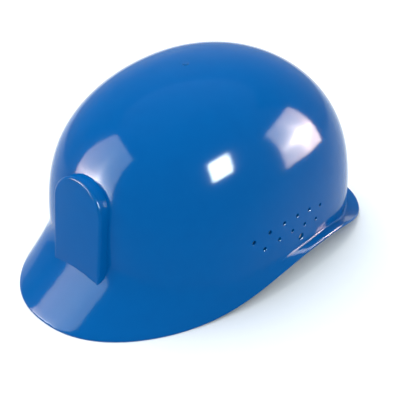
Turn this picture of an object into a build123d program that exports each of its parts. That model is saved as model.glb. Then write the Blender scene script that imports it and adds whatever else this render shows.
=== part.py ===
from build123d import *
import os
from math import atan2, cos, degrees, hypot, pi, radians, sin, tan

# A one-piece moulded bump cap with a hanging headband, crossed crown straps and a nape ratchet.
# Working frame: millimetres, +Z up, the brim points to -Y, +X is the wearer's left,
# and the dome's axis is X = Y = 0. Every part is moved along Y when it is written, so that
# the cap's outline is centred on the origin and its lowest edge lies at Z = 0.

# ---- dome ----
WALL = 2.0
DOME_HEIGHT = 140.0
DOME_HALF_WIDTH = 93.0
DOME_FRONT_REACH = 124.0
DOME_REAR_REACH = 121.5
DOME_PLAN_POWER = 2.6
SIDE_FALL = (3.6, 2.28)
FRONT_FALL = (3.95, 2.14)
REAR_FALL = (2.26, 2.45)

# ---- edge, brim and crease ----
EDGE_HALF_WIDTH = 98.3
EDGE_FRONT_REACH = 174.2
EDGE_REAR_REACH = 115.8
EDGE_CENTRE_Y = 11.5
EDGE_FRONT_POWER = 2.23
EDGE_REAR_POWER = 3.0
EDGE_RISE = 16.0
EDGE_RISE_SHARPNESS = 4.0
REST_TRIM = 0.6
LIP_WIDTH = 2.8
LIP_HEIGHT = 2.8
LIP_ROUND = 0.7
FRONT_FLARE = 32.0
SIDE_FLARE = 5.6
FLARE_POWER = 1.65
CREASE_BLEND = 0.22
CREASE_RUN_OUT = 1.0

# ---- badge plate on the front ----
BADGE_WIDTH = 47.0
BADGE_TOP = 92.0
BADGE_ARCH_RISE = 21.0
BADGE_FOOT = 18.0
BADGE_FACE_Y = -131.0
BADGE_FACE_Z = 26.0
BADGE_LEAN = 7.6
BADGE_ROUND = 1.8
BADGE_POCKET_FOOT = 42.0
BADGE_DEPTH = 31.0

# ---- vents, strap holes and gate mark ----
VENT_DIAMETER = 2.8
VENT_PITCH = 14.1
VENT_ROWS = ((6, -15.5, 50.1), (5, -13.3, 39.8))
VENT_ROW_RADIUS = 160.0
VENT_ROW_CENTRE_Y = -20.0
STRAP_HOLE_DIAMETER = 5.0
STRAP_HOLE_Y = -2.6
STRAP_HOLE_Z = 29.5
GATE_MARK_Y = -22.0
GATE_MARK_DIAMETER = 4.6
GATE_MARK_HEIGHT = 0.6

# ---- headband ----
BAND_CENTRE_Y = 9.0
BAND_RADIUS = 80.0
BAND_FRONT_REACH = 122.0
BAND_THICKNESS = 1.6
BAND_BOTTOM = 9.0
BAND_HEIGHT = 28.0
RAIL_BOTTOM = 36.0
RAIL_HEIGHT = 11.0
EAR_MARGIN = 1.0
FRONT_HANGER_ANGLE = 40.0
REAR_HANGER_ANGLE = 34.0
RAIL_END_ANGLE = 43.0

# ---- strap hinges ----
BEAD_RADIUS = 2.3
HINGE_CLEARANCE = 0.3
BARREL_WALL = 1.9
BARREL_MOUTH = 3.8

# ---- hangers and their sockets ----
HANGER_THICKNESS = 2.4
HANGER_FOOT = 36.4
SHOULDER = 1.0
SOCKET_BOTTOM = 42.0
SOCKET_HEIGHT = 13.0
SOCKET_WALL = 1.9
SOCKET_BACK = 2.2
SOCKET_CLEARANCE = 0.2
TONGUE_TIP = 53.0
STUD_RADIUS = 3.0
STUD_HEAD_RADIUS = 4.4
STUD_HEAD_THICKNESS = 1.2
STUD_CLEARANCE = 0.1
STUD_HEAD_GAP = 0.15

# ---- crown straps and pad ----
WEBBING_WIDTH = 16.0
WEBBING_THICKNESS = 1.2
WEBBING_SLOT_CLEARANCE = 0.9
WEBBING_SIDE_BAR = 1.1
CROWN_TOP = 112.0
CROWN_SPRING = 48.0
CROWN_FALL = (2.4, 1.8)
CROWN_GAP = 0.4
FOLD_HEIGHT = 2.8
FOLD_LAYERS = 3
CROWN_PAD_RADIUS = 30.0
CROWN_PAD_THICKNESS = 5.0
CROWN_PAD_CURVE = 120.0

# ---- soft pads ----
BROW_PAD_THICKNESS = 4.0
BROW_PAD_END_Y = -28.0
BROW_PAD_MARGIN = 0.8
NAPE_PAD_THICKNESS = 4.5
NAPE_PAD_ANGLE = 25.0

# ---- rack straps ----
RACK_THICKNESS = 1.4
RACK_HEIGHT = 20.0
RACK_LAYER_OFFSET = 1.15
RACK_OVERLAP = 30.0
RACK_SLOT_END = 24.0
RACK_SLOT_START = -34.0
MODULE = 1.25
PINION_TEETH = 8
ADDENDUM = 1.1
DEDENDUM = 1.5
TOOTH_BACKLASH = 0.78
TOOTH_FLANK = 20.0
TOOTH_EMBED = 0.4
SLOT_TIP_CLEARANCE = 0.9

# ---- ratchet housing and knob ----
HOUSING_ANGLE = 22.5
HOUSING_HEIGHT = 30.0
CHANNEL_CLEARANCE = 0.55
HOUSING_WALL = 2.6
COVER_THICKNESS = 2.2
JOURNAL_RADIUS = 3.4
TAIL_JOURNAL_RADIUS = 2.6
RUNNING_CLEARANCE = 0.05
DRIVE_FLATS = 5.2
RING_TEETH = 24
RING_ROOT_RADIUS = 12.0
RING_TIP_RADIUS = 10.9
RING_OUTER_RADIUS = 13.6
RING_DEPTH = 4.2
RING_TOOTH_HALF_WIDTH = 0.9
RING_TOOTH_EMBED = 0.3
KNOB_RADIUS = 17.0
KNOB_DEPTH = 12.0
KNOB_CAVITY_CLEARANCE = 0.5
KNOB_GAP = 0.5
KNOB_RIBS = 18
KNOB_ROUND = 1.5
KNOB_GROOVE_RADIUS = 1.3
KNOB_GROOVE_OFFSET = 0.7
KNOB_CROWN = 1.0
PAWL_THICKNESS = 2.0
PAWL_CLEARANCE = 0.35
PAWL_HUB_RADIUS = 5.4
PAWL_ARM_THICKNESS = 1.4
PAWL_TIP_ANGLE = 24.0
PAWL_NOSE_ANGLES = (14.0, 26.0)
SCREW_RADIUS = 1.5
SCREW_HEAD_RADIUS = 2.9
SCREW_HEAD_HEIGHT = 1.8
SCREW_LENGTH = 9.0
SCREW_TIP_GAP = 1.0
SCREW_RECESS_LENGTH = 3.5
SCREW_RECESS_WIDTH = 0.8
COVER_SCREW_RADIUS = 1.0
COVER_SCREW_HEAD_RADIUS = 1.9
COVER_SCREW_HEAD_HEIGHT = 1.0
COVER_SCREW_LENGTH = 7.0
COVER_SCREW_ANGLE = 17.0

# ---- how finely curved skins are followed ----
RING_POINTS = 48
DOME_RINGS = 9
WEBBING_SECTIONS = 21

# ---- sizes worked out from those above ----
BAND_MID_Z = BAND_BOTTOM + BAND_HEIGHT / 2
FRONT_TIP_Y = EDGE_CENTRE_Y - EDGE_FRONT_REACH
REAR_TIP_Y = EDGE_CENTRE_Y + EDGE_REAR_REACH
FRAME_SHIFT_Y = -(FRONT_TIP_Y + REAR_TIP_Y) / 2
RAIL_MID_Z = RAIL_BOTTOM + RAIL_HEIGHT / 2
HANGER_WIDTH = WEBBING_WIDTH + 2 * (WEBBING_SLOT_CLEARANCE + WEBBING_SIDE_BAR)
EAR_WIDTH = HANGER_WIDTH + 2 * EAR_MARGIN
PITCH_RADIUS = MODULE * PINION_TEETH / 2
PITCH = pi * MODULE
LAYER_HALF = RACK_LAYER_OFFSET + RACK_THICKNESS / 2
CHANNEL_INNER = BAND_RADIUS - LAYER_HALF - CHANNEL_CLEARANCE
CHANNEL_OUTER = BAND_RADIUS + LAYER_HALF + CHANNEL_CLEARANCE
HOUSING_OUTER = CHANNEL_OUTER + HOUSING_WALL
COVER_INNER = CHANNEL_INNER - COVER_THICKNESS
CHANNEL_HALF_HEIGHT = RACK_HEIGHT / 2 + CHANNEL_CLEARANCE
KNOB_START = HOUSING_OUTER + KNOB_GAP
KNOB_END = KNOB_START + KNOB_DEPTH
DRIVE_END = KNOB_END - SCREW_HEAD_HEIGHT - KNOB_CROWN


# ------------------------------------------------------------------ shell skin
def fall(level, powers):
    """Share of the widest radius left at a share of the dome's height."""
    return (1 - level ** powers[0]) ** (1 / powers[1])


def oval_radius(angle, half_width, reach, power):
    """Distance from the centre of a superellipse to its outline at a plan angle."""
    across = (abs(cos(angle)) / half_width) ** power
    along = (abs(sin(angle)) / reach) ** power
    return (across + along) ** (-1 / power)


def dome_point(angle, z, inset=0.0):
    """Point of the dome's skin at a plan angle and a height, moved in by an inset."""
    level = z / (DOME_HEIGHT - inset)
    front = sin(angle) < 0
    base_reach = DOME_FRONT_REACH if front else DOME_REAR_REACH
    half_width = (DOME_HALF_WIDTH - inset) * fall(level, SIDE_FALL)
    reach = (base_reach - inset) * fall(level, FRONT_FALL if front else REAR_FALL)
    power = DOME_PLAN_POWER + (2 - DOME_PLAN_POWER) * level**2
    radius = oval_radius(angle, half_width, reach, power)
    return Vector(radius * cos(angle), radius * sin(angle), z)


def edge_point(angle, inset=0.0, lift=0.0):
    """Point on the cap's lower edge, which climbs towards its widest place."""
    front = sin(angle) < 0
    reach = EDGE_FRONT_REACH if front else EDGE_REAR_REACH
    power = EDGE_FRONT_POWER if front else EDGE_REAR_POWER
    radius = oval_radius(angle, EDGE_HALF_WIDTH, reach, power)
    share = abs(radius * cos(angle)) / EDGE_HALF_WIDTH
    rise = (EDGE_RISE + REST_TRIM) * share ** (EDGE_RISE_SHARPNESS * power) - REST_TRIM
    radius -= inset
    return Vector(radius * cos(angle), EDGE_CENTRE_Y + radius * sin(angle), rise + lift)


def crease_point(angle):
    """Point where the brim or the side flare meets the dome."""
    share = max(0.0, -sin(angle)) ** FLARE_POWER
    flare = SIDE_FLARE + (FRONT_FLARE - SIDE_FLARE) * share
    return dome_point(angle, edge_point(angle).Z + flare)


def outer_rings():
    """Rings of points over the outer skin, from the top of the lip to near the dome's top."""
    angles = [2 * pi * i / RING_POINTS for i in range(RING_POINTS)]
    lip = [edge_point(a, LIP_ROUND, LIP_HEIGHT) for a in angles]
    crease = [crease_point(a) for a in angles]
    rings = [lip, [p * 0.5 + c * 0.5 for p, c in zip(lip, crease)]]
    below = [c + (p - c) * CREASE_BLEND for p, c in zip(lip, crease)]
    above = []
    for angle, c, p in zip(angles, crease, lip):
        above.append(dome_point(angle, c.Z + (c.Z - p.Z) * CREASE_BLEND + CREASE_RUN_OUT))
    middle = [b * 0.25 + c * 0.5 + a * 0.25 for b, c, a in zip(below, crease, above)]
    rings += [below, middle, above]
    for step in range(1, DOME_RINGS):
        share = sin(step / DOME_RINGS * pi / 2)
        heights = [a.Z + (DOME_HEIGHT - a.Z) * share for a in above]
        rings.append([dome_point(angle, z) for angle, z in zip(angles, heights)])
    return rings


def moved_in(rings, depth):
    """The same rings moved along the skin's inward normal."""
    moved = []
    for i, ring in enumerate(rings):
        lower = rings[max(i - 1, 0)]
        upper = rings[min(i + 1, len(rings) - 1)]
        new_ring = []
        for j, point in enumerate(ring):
            along = ring[(j + 1) % RING_POINTS] - ring[j - 1]
            up = upper[j] - lower[j]
            new_ring.append(point - along.cross(up).normalized() * depth)
        moved.append(new_ring)
    return moved


def ring_wire(points):
    """Closed smooth wire through one ring of points."""
    count = len(points)
    spacing = [i / count for i in range(count + 1)]
    return Wire([Edge.make_spline(points, periodic=True, parameters=spacing)])


def skin_faces(rings, top):
    """Smooth faces through the brim, the crease and the dome, closed at the top."""
    wires = [ring_wire(ring) for ring in rings]
    brim = Shell.make_loft(wires[0:3])
    crease = Shell.make_loft(wires[2:5])
    dome = Shell.make_loft([*wires[4:], Vertex(0, 0, top)])
    return [*brim.faces(), *crease.faces(), *dome.faces()]


def solid_from(faces):
    """One solid from faces that close a space."""
    sewn = Face.sew_faces(faces)[0]
    return Solid(Shell(sewn))


def core(depth):
    """Closed solid of everything inside the outer skin less a depth."""
    rings = moved_in(outer_rings(), depth)
    bottom = Vertex(0, 0, -DOME_HEIGHT)
    under = Shell.make_loft([bottom, ring_wire(rings[0])], ruled=True)
    return solid_from([*skin_faces(rings, DOME_HEIGHT - depth), *under.faces()])


def bare_shell():
    """The cap's skin with its rounded lip and nothing cut into it."""
    angles = [2 * pi * i / RING_POINTS for i in range(RING_POINTS)]
    outer = outer_rings()
    inner = moved_in(outer, WALL)
    lip_foot = [edge_point(a, LIP_ROUND) for a in angles]
    lip_side = [edge_point(a, 0.0, LIP_HEIGHT / 2) for a in angles]
    lip_back = [edge_point(a, LIP_WIDTH) for a in angles]
    lip = Shell.make_loft([ring_wire(r) for r in (lip_foot, lip_side, outer[0])])
    foot = Shell.make_loft([ring_wire(lip_back), ring_wire(lip_foot)], ruled=True)
    back = Shell.make_loft([ring_wire(lip_back), ring_wire(inner[0])], ruled=True)
    faces = [*skin_faces(outer, DOME_HEIGHT), *skin_faces(inner, DOME_HEIGHT - WALL)]
    return solid_from([*faces, *lip.faces(), *foot.faces(), *back.faces()])


# ------------------------------------------------------------------ shell features
def side_point(y, z):
    """Point of the dome's left skin at a given Y and height."""
    low, high = 0.0, DOME_HALF_WIDTH
    while high - low > 1e-6:
        x = (low + high) / 2
        if hypot(x, y) < dome_radius(atan2(y, x), z):
            low = x
        else:
            high = x
    return Vector(low, y, z)


def dome_radius(angle, z, inset=0.0):
    """Plan radius of the dome at a plan angle and a height."""
    point = dome_point(angle, z, inset)
    return hypot(point.X, point.Y)


def side_plane(y, z):
    """Plane lying on the dome's left skin, its normal pointing out."""
    step = 0.5
    along = side_point(y + step, z) - side_point(y - step, z)
    up = side_point(y, z + step) - side_point(y, z - step)
    return Plane(origin=side_point(y, z), x_dir=along, z_dir=along.cross(up))


def both_sides(part):
    """A part of the left side with its mirror image."""
    return [part, mirror(part, about=Plane.YZ)]


def vent_drills():
    """Drills for the two staggered rows of vents and the strap hole, on both sides."""
    drills = []
    for count, centre_y, top_z in VENT_ROWS:
        for i in range(count):
            y = centre_y + (i - (count - 1) / 2) * VENT_PITCH
            z = top_z - (y - VENT_ROW_CENTRE_Y) ** 2 / (2 * VENT_ROW_RADIUS)
            drills += both_sides(side_plane(y, z) * Cylinder(VENT_DIAMETER / 2, 6 * WALL))
    strap_hole = Cylinder(STRAP_HOLE_DIAMETER / 2, 6 * WALL)
    drills += both_sides(side_plane(STRAP_HOLE_Y, STRAP_HOLE_Z) * strap_hole)
    return drills


def badge_plane():
    """Plane of the badge plate's face, leaning back, its normal pointing forwards."""
    lean = radians(BADGE_LEAN)
    origin = (0, BADGE_FACE_Y, BADGE_FACE_Z)
    return Plane(origin=origin, x_dir=(1, 0, 0), z_dir=(0, -cos(lean), sin(lean)))


def badge_outline(foot, margin=0.0):
    """Arched outline of the badge plate on its own plane, drawn in by a margin."""
    half = BADGE_WIDTH / 2 - margin
    spring = BADGE_TOP - BADGE_ARCH_RISE - BADGE_FACE_Z
    low = foot - BADGE_FACE_Z
    block = Pos(0, (spring + low) / 2) * Rectangle(2 * half, spring - low)
    return block + Pos(0, spring) * Ellipse(half, BADGE_ARCH_RISE - margin)


def badge_block():
    """The badge plate, reaching back through the dome's wall."""
    block = badge_plane() * extrude(badge_outline(BADGE_FOOT), -BADGE_DEPTH)
    face = block.faces().sort_by(lambda f: -f.center().Y)[-1]
    rim = face.edges().sort_by(lambda e: e.center().Z)[1:]
    return fillet(rim, BADGE_ROUND)


def badge_pocket():
    """Hollow behind the badge plate that keeps its wall as thin as the rest."""
    outline = badge_outline(BADGE_POCKET_FOOT, WALL)
    return badge_plane() * Pos(0, 0, -WALL) * extrude(outline, -BADGE_DEPTH)


def gate_mark():
    """Small raised disc left where the plastic entered the mould."""
    level = (abs(GATE_MARK_Y) / DOME_FRONT_REACH) ** FRONT_FALL[1]
    z = DOME_HEIGHT * (1 - level) ** (1 / FRONT_FALL[0])
    disc = Cylinder(GATE_MARK_DIAMETER / 2, WALL / 2 + GATE_MARK_HEIGHT)
    return Pos(0, GATE_MARK_Y, z + (GATE_MARK_HEIGHT - WALL / 2) / 2) * disc


# ------------------------------------------------------------------ hanger places
class HangerPlace:
    """Where one hanger meets the headband, and how far it reaches to the wall."""

    def __init__(self, side, front):
        angle = radians(FRONT_HANGER_ANGLE if front else REAR_HANGER_ANGLE)
        reach = -BAND_FRONT_REACH if front else BAND_RADIUS
        x, y = BAND_RADIUS * cos(angle), BAND_CENTRE_Y + reach * sin(angle)
        out = Vector(cos(angle) / BAND_RADIUS, sin(angle) / reach, 0).normalized()
        out = Vector(side * out.X, out.Y, 0)
        self.plane = Plane(origin=(side * x, y, 0), x_dir=out, z_dir=(0, 0, 1))
        self.wall = self.wall_distance(SOCKET_BOTTOM + SOCKET_HEIGHT)
        self.tongue = self.wall - SOCKET_BACK - SOCKET_CLEARANCE - HANGER_THICKNESS / 2
        inner = BAND_THICKNESS / 2 + HANGER_THICKNESS
        outer = self.tongue - HANGER_THICKNESS / 2 - SHOULDER
        self.webbing = (inner + outer) / 2

    def wall_distance(self, z):
        """Distance from the headband to the inside of the dome at a height."""
        low, high = 0.0, DOME_HALF_WIDTH
        while high - low > 1e-6:
            middle = (low + high) / 2
            point = self.plane.origin + self.plane.x_dir * middle
            if hypot(point.X, point.Y) < dome_radius(atan2(point.Y, point.X), z, WALL):
                low = middle
            else:
                high = middle
        return low

    def block(self, out, width, bottom, top):
        """Upright box between two outward distances, centred on the hanger."""
        box = Box(out[1] - out[0], width, top - bottom, align=(Align.MIN, Align.CENTER, Align.MIN))
        return self.plane * Pos(out[0], 0, bottom) * box


HANGERS = {
    "front_left_hanger": HangerPlace(1, True),
    "front_right_hanger": HangerPlace(-1, True),
    "rear_left_hanger": HangerPlace(1, False),
    "rear_right_hanger": HangerPlace(-1, False),
}


def socket_blocks(place):
    """Socket moulded on the wall for a hanger's tongue, and the slot through it."""
    half = HANGER_THICKNESS / 2 + SOCKET_CLEARANCE
    slot = (place.tongue - half, place.tongue + half)
    top = SOCKET_BOTTOM + SOCKET_HEIGHT
    width = HANGER_WIDTH + 2 * SOCKET_CLEARANCE
    outer = (slot[0] - SOCKET_WALL, place.wall + 4 * WALL)
    body = place.block(outer, width + 2 * SOCKET_WALL, SOCKET_BOTTOM, top)
    return body, place.block(slot, width, SOCKET_BOTTOM - 1, top + 1)


# ------------------------------------------------------------------ parts of the shell
def make_shell():
    """The moulded cap: skin, badge plate, vents, strap holes, gate mark and sockets."""
    inside = core(WALL)
    mid_wall = core(WALL / 2)
    shell = bare_shell() + (badge_block() - inside) - badge_pocket() + gate_mark()
    for place in HANGERS.values():
        body, slot = socket_blocks(place)
        shell = shell + (body & mid_wall) - slot
    across = 4 * EDGE_FRONT_REACH
    below = Box(across, across, DOME_HEIGHT, align=(Align.CENTER, Align.CENTER, Align.MAX))
    return shell - vent_drills() - below


# ------------------------------------------------------------------ headband
def band_oval(offset):
    """Plan outline of the headband's front half, moved outwards by an offset."""
    oval = Ellipse(BAND_RADIUS + offset, BAND_FRONT_REACH + offset)
    half = Pos(0, -BAND_FRONT_REACH) * Rectangle(4 * BAND_RADIUS, 2 * BAND_FRONT_REACH)
    return Pos(0, BAND_CENTRE_Y) * (oval & half)


def band_wall(outer, inner, bottom, height):
    """Upright wall between two offsets of the headband's front outline."""
    return Pos(0, 0, bottom) * extrude(band_oval(outer) - band_oval(inner), height)


def ring_sector(inner, outer, bottom, height, start, end):
    """Upright slice of a ring about the band's rear centre, angles in degrees from +X."""
    outer_arc = CenterArc((0, BAND_CENTRE_Y), outer, start, end - start)
    inner_arc = CenterArc((0, BAND_CENTRE_Y), inner, start, end - start)
    sides = [Line(outer_arc @ 0, inner_arc @ 0), Line(outer_arc @ 1, inner_arc @ 1)]
    face = make_face([outer_arc, inner_arc, *sides])
    return Pos(0, 0, bottom) * extrude(face, height)


def upright(x, radius, bottom, top):
    """Upright cylinder on the hinge line at one side."""
    post = Cylinder(radius, top - bottom, align=(Align.CENTER, Align.CENTER, Align.MIN))
    return Pos(x, BAND_CENTRE_Y, bottom) * post


def make_headband():
    """Front band with ears for the front hangers, side rails and barrels for the straps."""
    half = BAND_THICKNESS / 2
    band = band_wall(half, -half, BAND_BOTTOM, BAND_HEIGHT)
    collar = band_wall(half, -half, RAIL_BOTTOM, RAIL_HEIGHT)
    reach = BAND_THICKNESS * 3
    for name, place in HANGERS.items():
        if name.startswith("front"):
            top = RAIL_BOTTOM + RAIL_HEIGHT
            band += collar & place.block((-reach, reach), EAR_WIDTH, RAIL_BOTTOM, top)
    rail_front = Box(4 * BAND_RADIUS, EAR_WIDTH * 2, 4 * RAIL_HEIGHT)
    band += collar & (Pos(0, BAND_CENTRE_Y, RAIL_MID_Z) * rail_front)
    for start, end in ((0, RAIL_END_ANGLE), (180 - RAIL_END_ANGLE, 180)):
        inner, outer = BAND_RADIUS - half, BAND_RADIUS + half
        band += ring_sector(inner, outer, RAIL_BOTTOM, RAIL_HEIGHT, start, end)
    for side in (1, -1):
        band = band + barrel(side) - barrel_bore(side)
    for place in HANGERS.values():
        hole = Cylinder(STUD_RADIUS + STUD_CLEARANCE, 4 * reach)
        band -= place.plane * Pos(0, 0, RAIL_MID_Z) * Rot(Y=90) * hole
    return band


def barrel(side):
    """Outside of the upright hinge barrel at one side."""
    radius = BEAD_RADIUS + HINGE_CLEARANCE + BARREL_WALL
    bottom = BAND_MID_Z - RACK_HEIGHT / 2 - HINGE_CLEARANCE - BARREL_WALL
    return upright(side * BAND_RADIUS, radius, bottom, RAIL_BOTTOM + BAND_THICKNESS)


def barrel_bore(side):
    """Hollow of the barrel with the mouth that the strap comes out of."""
    half = RACK_HEIGHT / 2 + HINGE_CLEARANCE
    bottom, top = BAND_MID_Z - half, BAND_MID_Z + half
    bore = upright(side * BAND_RADIUS, BEAD_RADIUS + HINGE_CLEARANCE, bottom, top)
    forwards = (Align.CENTER, Align.MIN, Align.MIN)
    mouth = Box(BARREL_MOUTH, 3 * BEAD_RADIUS, top - bottom, align=forwards)
    x = side * (BAND_RADIUS + layer_offset(side))
    return bore + Pos(x, BAND_CENTRE_Y, bottom) * mouth


# ------------------------------------------------------------------ hangers and webbing
def make_hanger(place):
    """U-shaped hanger: pad and stud on the headband, slotted arm, tongue in the socket."""
    pad_inner = BAND_THICKNESS / 2
    pad = (pad_inner, pad_inner + HANGER_THICKNESS)
    tongue = (place.tongue - HANGER_THICKNESS / 2, place.tongue + HANGER_THICKNESS / 2)
    neck = (tongue[0] - SHOULDER, tongue[1] + SHOULDER)
    top = RAIL_BOTTOM + RAIL_HEIGHT
    hanger = place.block(pad, HANGER_WIDTH, HANGER_FOOT, top)
    shelf_top = HANGER_FOOT + HANGER_THICKNESS
    hanger += place.block((pad[0], neck[1]), HANGER_WIDTH, HANGER_FOOT, shelf_top)
    hanger += place.block(neck, HANGER_WIDTH, HANGER_FOOT, SOCKET_BOTTOM - SOCKET_CLEARANCE)
    hanger += place.block(tongue, HANGER_WIDTH, HANGER_FOOT, TONGUE_TIP)
    half = WEBBING_THICKNESS / 2 + WEBBING_SLOT_CLEARANCE
    slot = (place.webbing - half, place.webbing + half)
    width = WEBBING_WIDTH + 2 * WEBBING_SLOT_CLEARANCE
    hanger -= place.block(slot, width, HANGER_FOOT - 1, HANGER_FOOT + 2 * HANGER_THICKNESS)
    return hanger + stud(place, pad_inner)


def stud(place, pad_inner):
    """Button that holds the headband against the hanger's pad."""
    head_start = -BAND_THICKNESS / 2 - STUD_HEAD_GAP - STUD_HEAD_THICKNESS
    low = (Align.CENTER, Align.CENTER, Align.MIN)
    axis = place.plane * Pos(head_start, 0, RAIL_MID_Z) * Rot(Y=90)
    head = axis * Cylinder(STUD_HEAD_RADIUS, STUD_HEAD_THICKNESS, align=low)
    return head + axis * Cylinder(STUD_RADIUS, pad_inner - head_start + SHOULDER, align=low)


def webbing_path(start, end, top, share):
    """Point and direction of a crown strap at a share of its way over the head."""
    turn = share * pi
    run = (end - start) / 2
    level = max(0.0, 1 - abs(cos(turn)) ** CROWN_FALL[0]) ** (1 / CROWN_FALL[1])
    height = CROWN_SPRING + (top - CROWN_SPRING) * level
    centre = (start + end) / 2
    return Vector(centre.X, centre.Y, height) - run * cos(turn)


def webbing_section(path, share, widths):
    """Rectangle across the strap, turned from one hanger's slot to the other's."""
    step = 1e-3
    low, high = max(share - step, 0.0), min(share + step, 1.0)
    along = (path(high) - path(low)).normalized()
    first, middle, last = widths
    lead, tail = (1 - share) ** 4, share**4
    across = first * lead + middle * (1 - lead - tail) + last * tail
    across = (across - along * across.dot(along)).normalized() * (WEBBING_WIDTH / 2)
    out = along.cross(across).normalized() * (WEBBING_THICKNESS / 2)
    centre = path(share)
    upper = [centre + across + out, centre - across + out]
    lower = [centre - across - out, centre + across - out]
    return Wire.make_polygon([*upper, *lower], close=True)


def make_crown_strap(first, last, top):
    """Webbing strap from a front hanger over the head to the opposite rear hanger."""
    start = first.plane.origin + first.plane.x_dir * first.webbing
    end = last.plane.origin + last.plane.x_dir * last.webbing
    across = (end - start).cross(Vector(0, 0, 1)).normalized()
    widths = [first.plane.y_dir, across, last.plane.y_dir]
    widths = [w if w.dot(across) > 0 else w * -1 for w in widths]

    def path(share):
        return webbing_path(start, end, top, share)

    shares = [i / (WEBBING_SECTIONS - 1) for i in range(WEBBING_SECTIONS)]
    strap = Solid.make_loft([webbing_section(path, share, widths) for share in shares])
    for place in (first, last):
        half = WEBBING_THICKNESS / 2
        leg = (place.webbing - half, place.webbing + half)
        fold = (place.webbing - half * FOLD_LAYERS, place.webbing + half * FOLD_LAYERS)
        fold_top = HANGER_FOOT - SOCKET_CLEARANCE
        strap += place.block(leg, WEBBING_WIDTH, fold_top - FOLD_HEIGHT, CROWN_SPRING)
        strap += place.block(fold, WEBBING_WIDTH, fold_top - FOLD_HEIGHT, fold_top)
    return strap


def crown_centre():
    """Plan point where the two crown straps cross."""
    places = [HANGERS["front_left_hanger"], HANGERS["rear_right_hanger"]]
    a, b = [p.plane.origin + p.plane.x_dir * p.webbing for p in places]
    return a + (b - a) * (a.X / (a.X - b.X))


def make_crown_pad():
    """Thin foam disc under the crossing, curved to the lower strap."""
    centre = crown_centre()
    top = CROWN_TOP - WEBBING_THICKNESS / 2 - CROWN_GAP
    outer = Sphere(CROWN_PAD_CURVE) - Sphere(CROWN_PAD_CURVE - CROWN_PAD_THICKNESS)
    disc = Pos(0, 0, CROWN_PAD_CURVE) * Cylinder(CROWN_PAD_RADIUS, CROWN_PAD_CURVE / 2)
    return Pos(centre.X, centre.Y, top - CROWN_PAD_CURVE) * (outer & disc)


def make_brow_pad():
    """Sweat pad lining the inside of the headband's front."""
    inner_face = -BAND_THICKNESS / 2
    height = RAIL_BOTTOM - BAND_BOTTOM - BROW_PAD_MARGIN
    bottom = BAND_BOTTOM + BROW_PAD_MARGIN
    wall = band_wall(inner_face, inner_face - BROW_PAD_THICKNESS, bottom, height)
    to_front = (Align.CENTER, Align.MAX, Align.CENTER)
    keep = Box(4 * BAND_RADIUS, 4 * BAND_RADIUS, 4 * BAND_HEIGHT, align=to_front)
    return wall & (Pos(0, BROW_PAD_END_Y, 0) * keep)


# ------------------------------------------------------------------ nape ratchet
def layer_offset(side):
    """Radial offset of a rack strap: the left one lies inside the right one."""
    return -side * RACK_LAYER_OFFSET


def rack_tooth(radius, travel):
    """One rack tooth hanging from the upper edge of the slot."""
    angle = pi / 2 + travel / radius
    out = Vector(cos(angle), sin(angle), 0)
    origin = Vector(0, BAND_CENTRE_Y, BAND_MID_Z + PITCH_RADIUS) + out * radius
    plane = Plane(origin=origin, x_dir=(sin(angle), -cos(angle), 0), z_dir=out)
    return plane * extrude(tooth_outline(-DEDENDUM - TOOTH_EMBED), RACK_THICKNESS / 2, both=True)


def tooth_outline(root):
    """Flat-sided tooth on its pitch line, pointing along +Y."""
    half = (PITCH / 2 - TOOTH_BACKLASH) / 2
    slope = tan(radians(TOOTH_FLANK))
    low, high = half - root * slope, half - ADDENDUM * slope
    points = [(-low, root), (low, root), (high, ADDENDUM), (-high, ADDENDUM)]
    return make_face(Polyline(*points, close=True))


def make_rack_strap(side):
    """Curved nape strap with a hinge bead at the side and a toothed slot at the back."""
    radius = BAND_RADIUS - RACK_LAYER_OFFSET * side
    half = RACK_THICKNESS / 2
    bottom = BAND_MID_Z - RACK_HEIGHT / 2
    end = 90 + degrees(RACK_OVERLAP / radius)
    strap = ring_sector(radius - half, radius + half, bottom, RACK_HEIGHT, 0, end)
    slot_low = BAND_MID_Z - PITCH_RADIUS - ADDENDUM - SLOT_TIP_CLEARANCE
    slot_high = BAND_MID_Z + PITCH_RADIUS + DEDENDUM
    start = 90 + degrees(RACK_SLOT_START / radius)
    end = 90 + degrees(RACK_SLOT_END / radius)
    inner, outer = radius - RACK_THICKNESS, radius + RACK_THICKNESS
    strap -= ring_sector(inner, outer, slot_low, slot_high - slot_low, start, end)
    first = int(RACK_SLOT_START / PITCH) + 1
    last = int(RACK_SLOT_END / PITCH)
    for i in range(first, last):
        strap += rack_tooth(radius, (i + 0.5) * PITCH)
    strap += upright(BAND_RADIUS, BEAD_RADIUS, bottom, bottom + RACK_HEIGHT)
    if side > 0:
        return strap
    turn = Pos(0, 0, BAND_MID_Z) * Rot(Y=180) * Pos(0, 0, -BAND_MID_Z)
    return turn * strap


def axial(radius, start, end):
    """Cylinder on the knob's axis between two distances from the band's rear centre."""
    low = (Align.CENTER, Align.CENTER, Align.MIN)
    return knob_axis(start) * Cylinder(radius, end - start, align=low)


def knob_axis(start):
    """Place on the knob's axis at a distance from the band's rear centre, +Z to the rear."""
    return Pos(0, BAND_CENTRE_Y + start, BAND_MID_Z) * Rot(X=-90)


def ring_teeth():
    """Inward teeth of the click ring."""
    half, root = RING_TOOTH_HALF_WIDTH, RING_ROOT_RADIUS + RING_TOOTH_EMBED
    outline = Polyline((0, RING_TIP_RADIUS), (half, root), (-half, root), close=True)
    tooth = extrude(make_face(outline), RING_DEPTH)
    return [Rot(Z=i * 360 / RING_TEETH) * tooth for i in range(RING_TEETH)]


def cover_screw_places():
    """Angle and height of each cover screw."""
    lift = (RACK_HEIGHT / 2 + HOUSING_HEIGHT / 2) / 2
    for angle in (90 - COVER_SCREW_ANGLE, 90 + COVER_SCREW_ANGLE):
        for z in (BAND_MID_Z - lift, BAND_MID_Z + lift):
            yield Pos(0, BAND_CENTRE_Y, z) * Rot(Z=angle) * Rot(Y=90)


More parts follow.
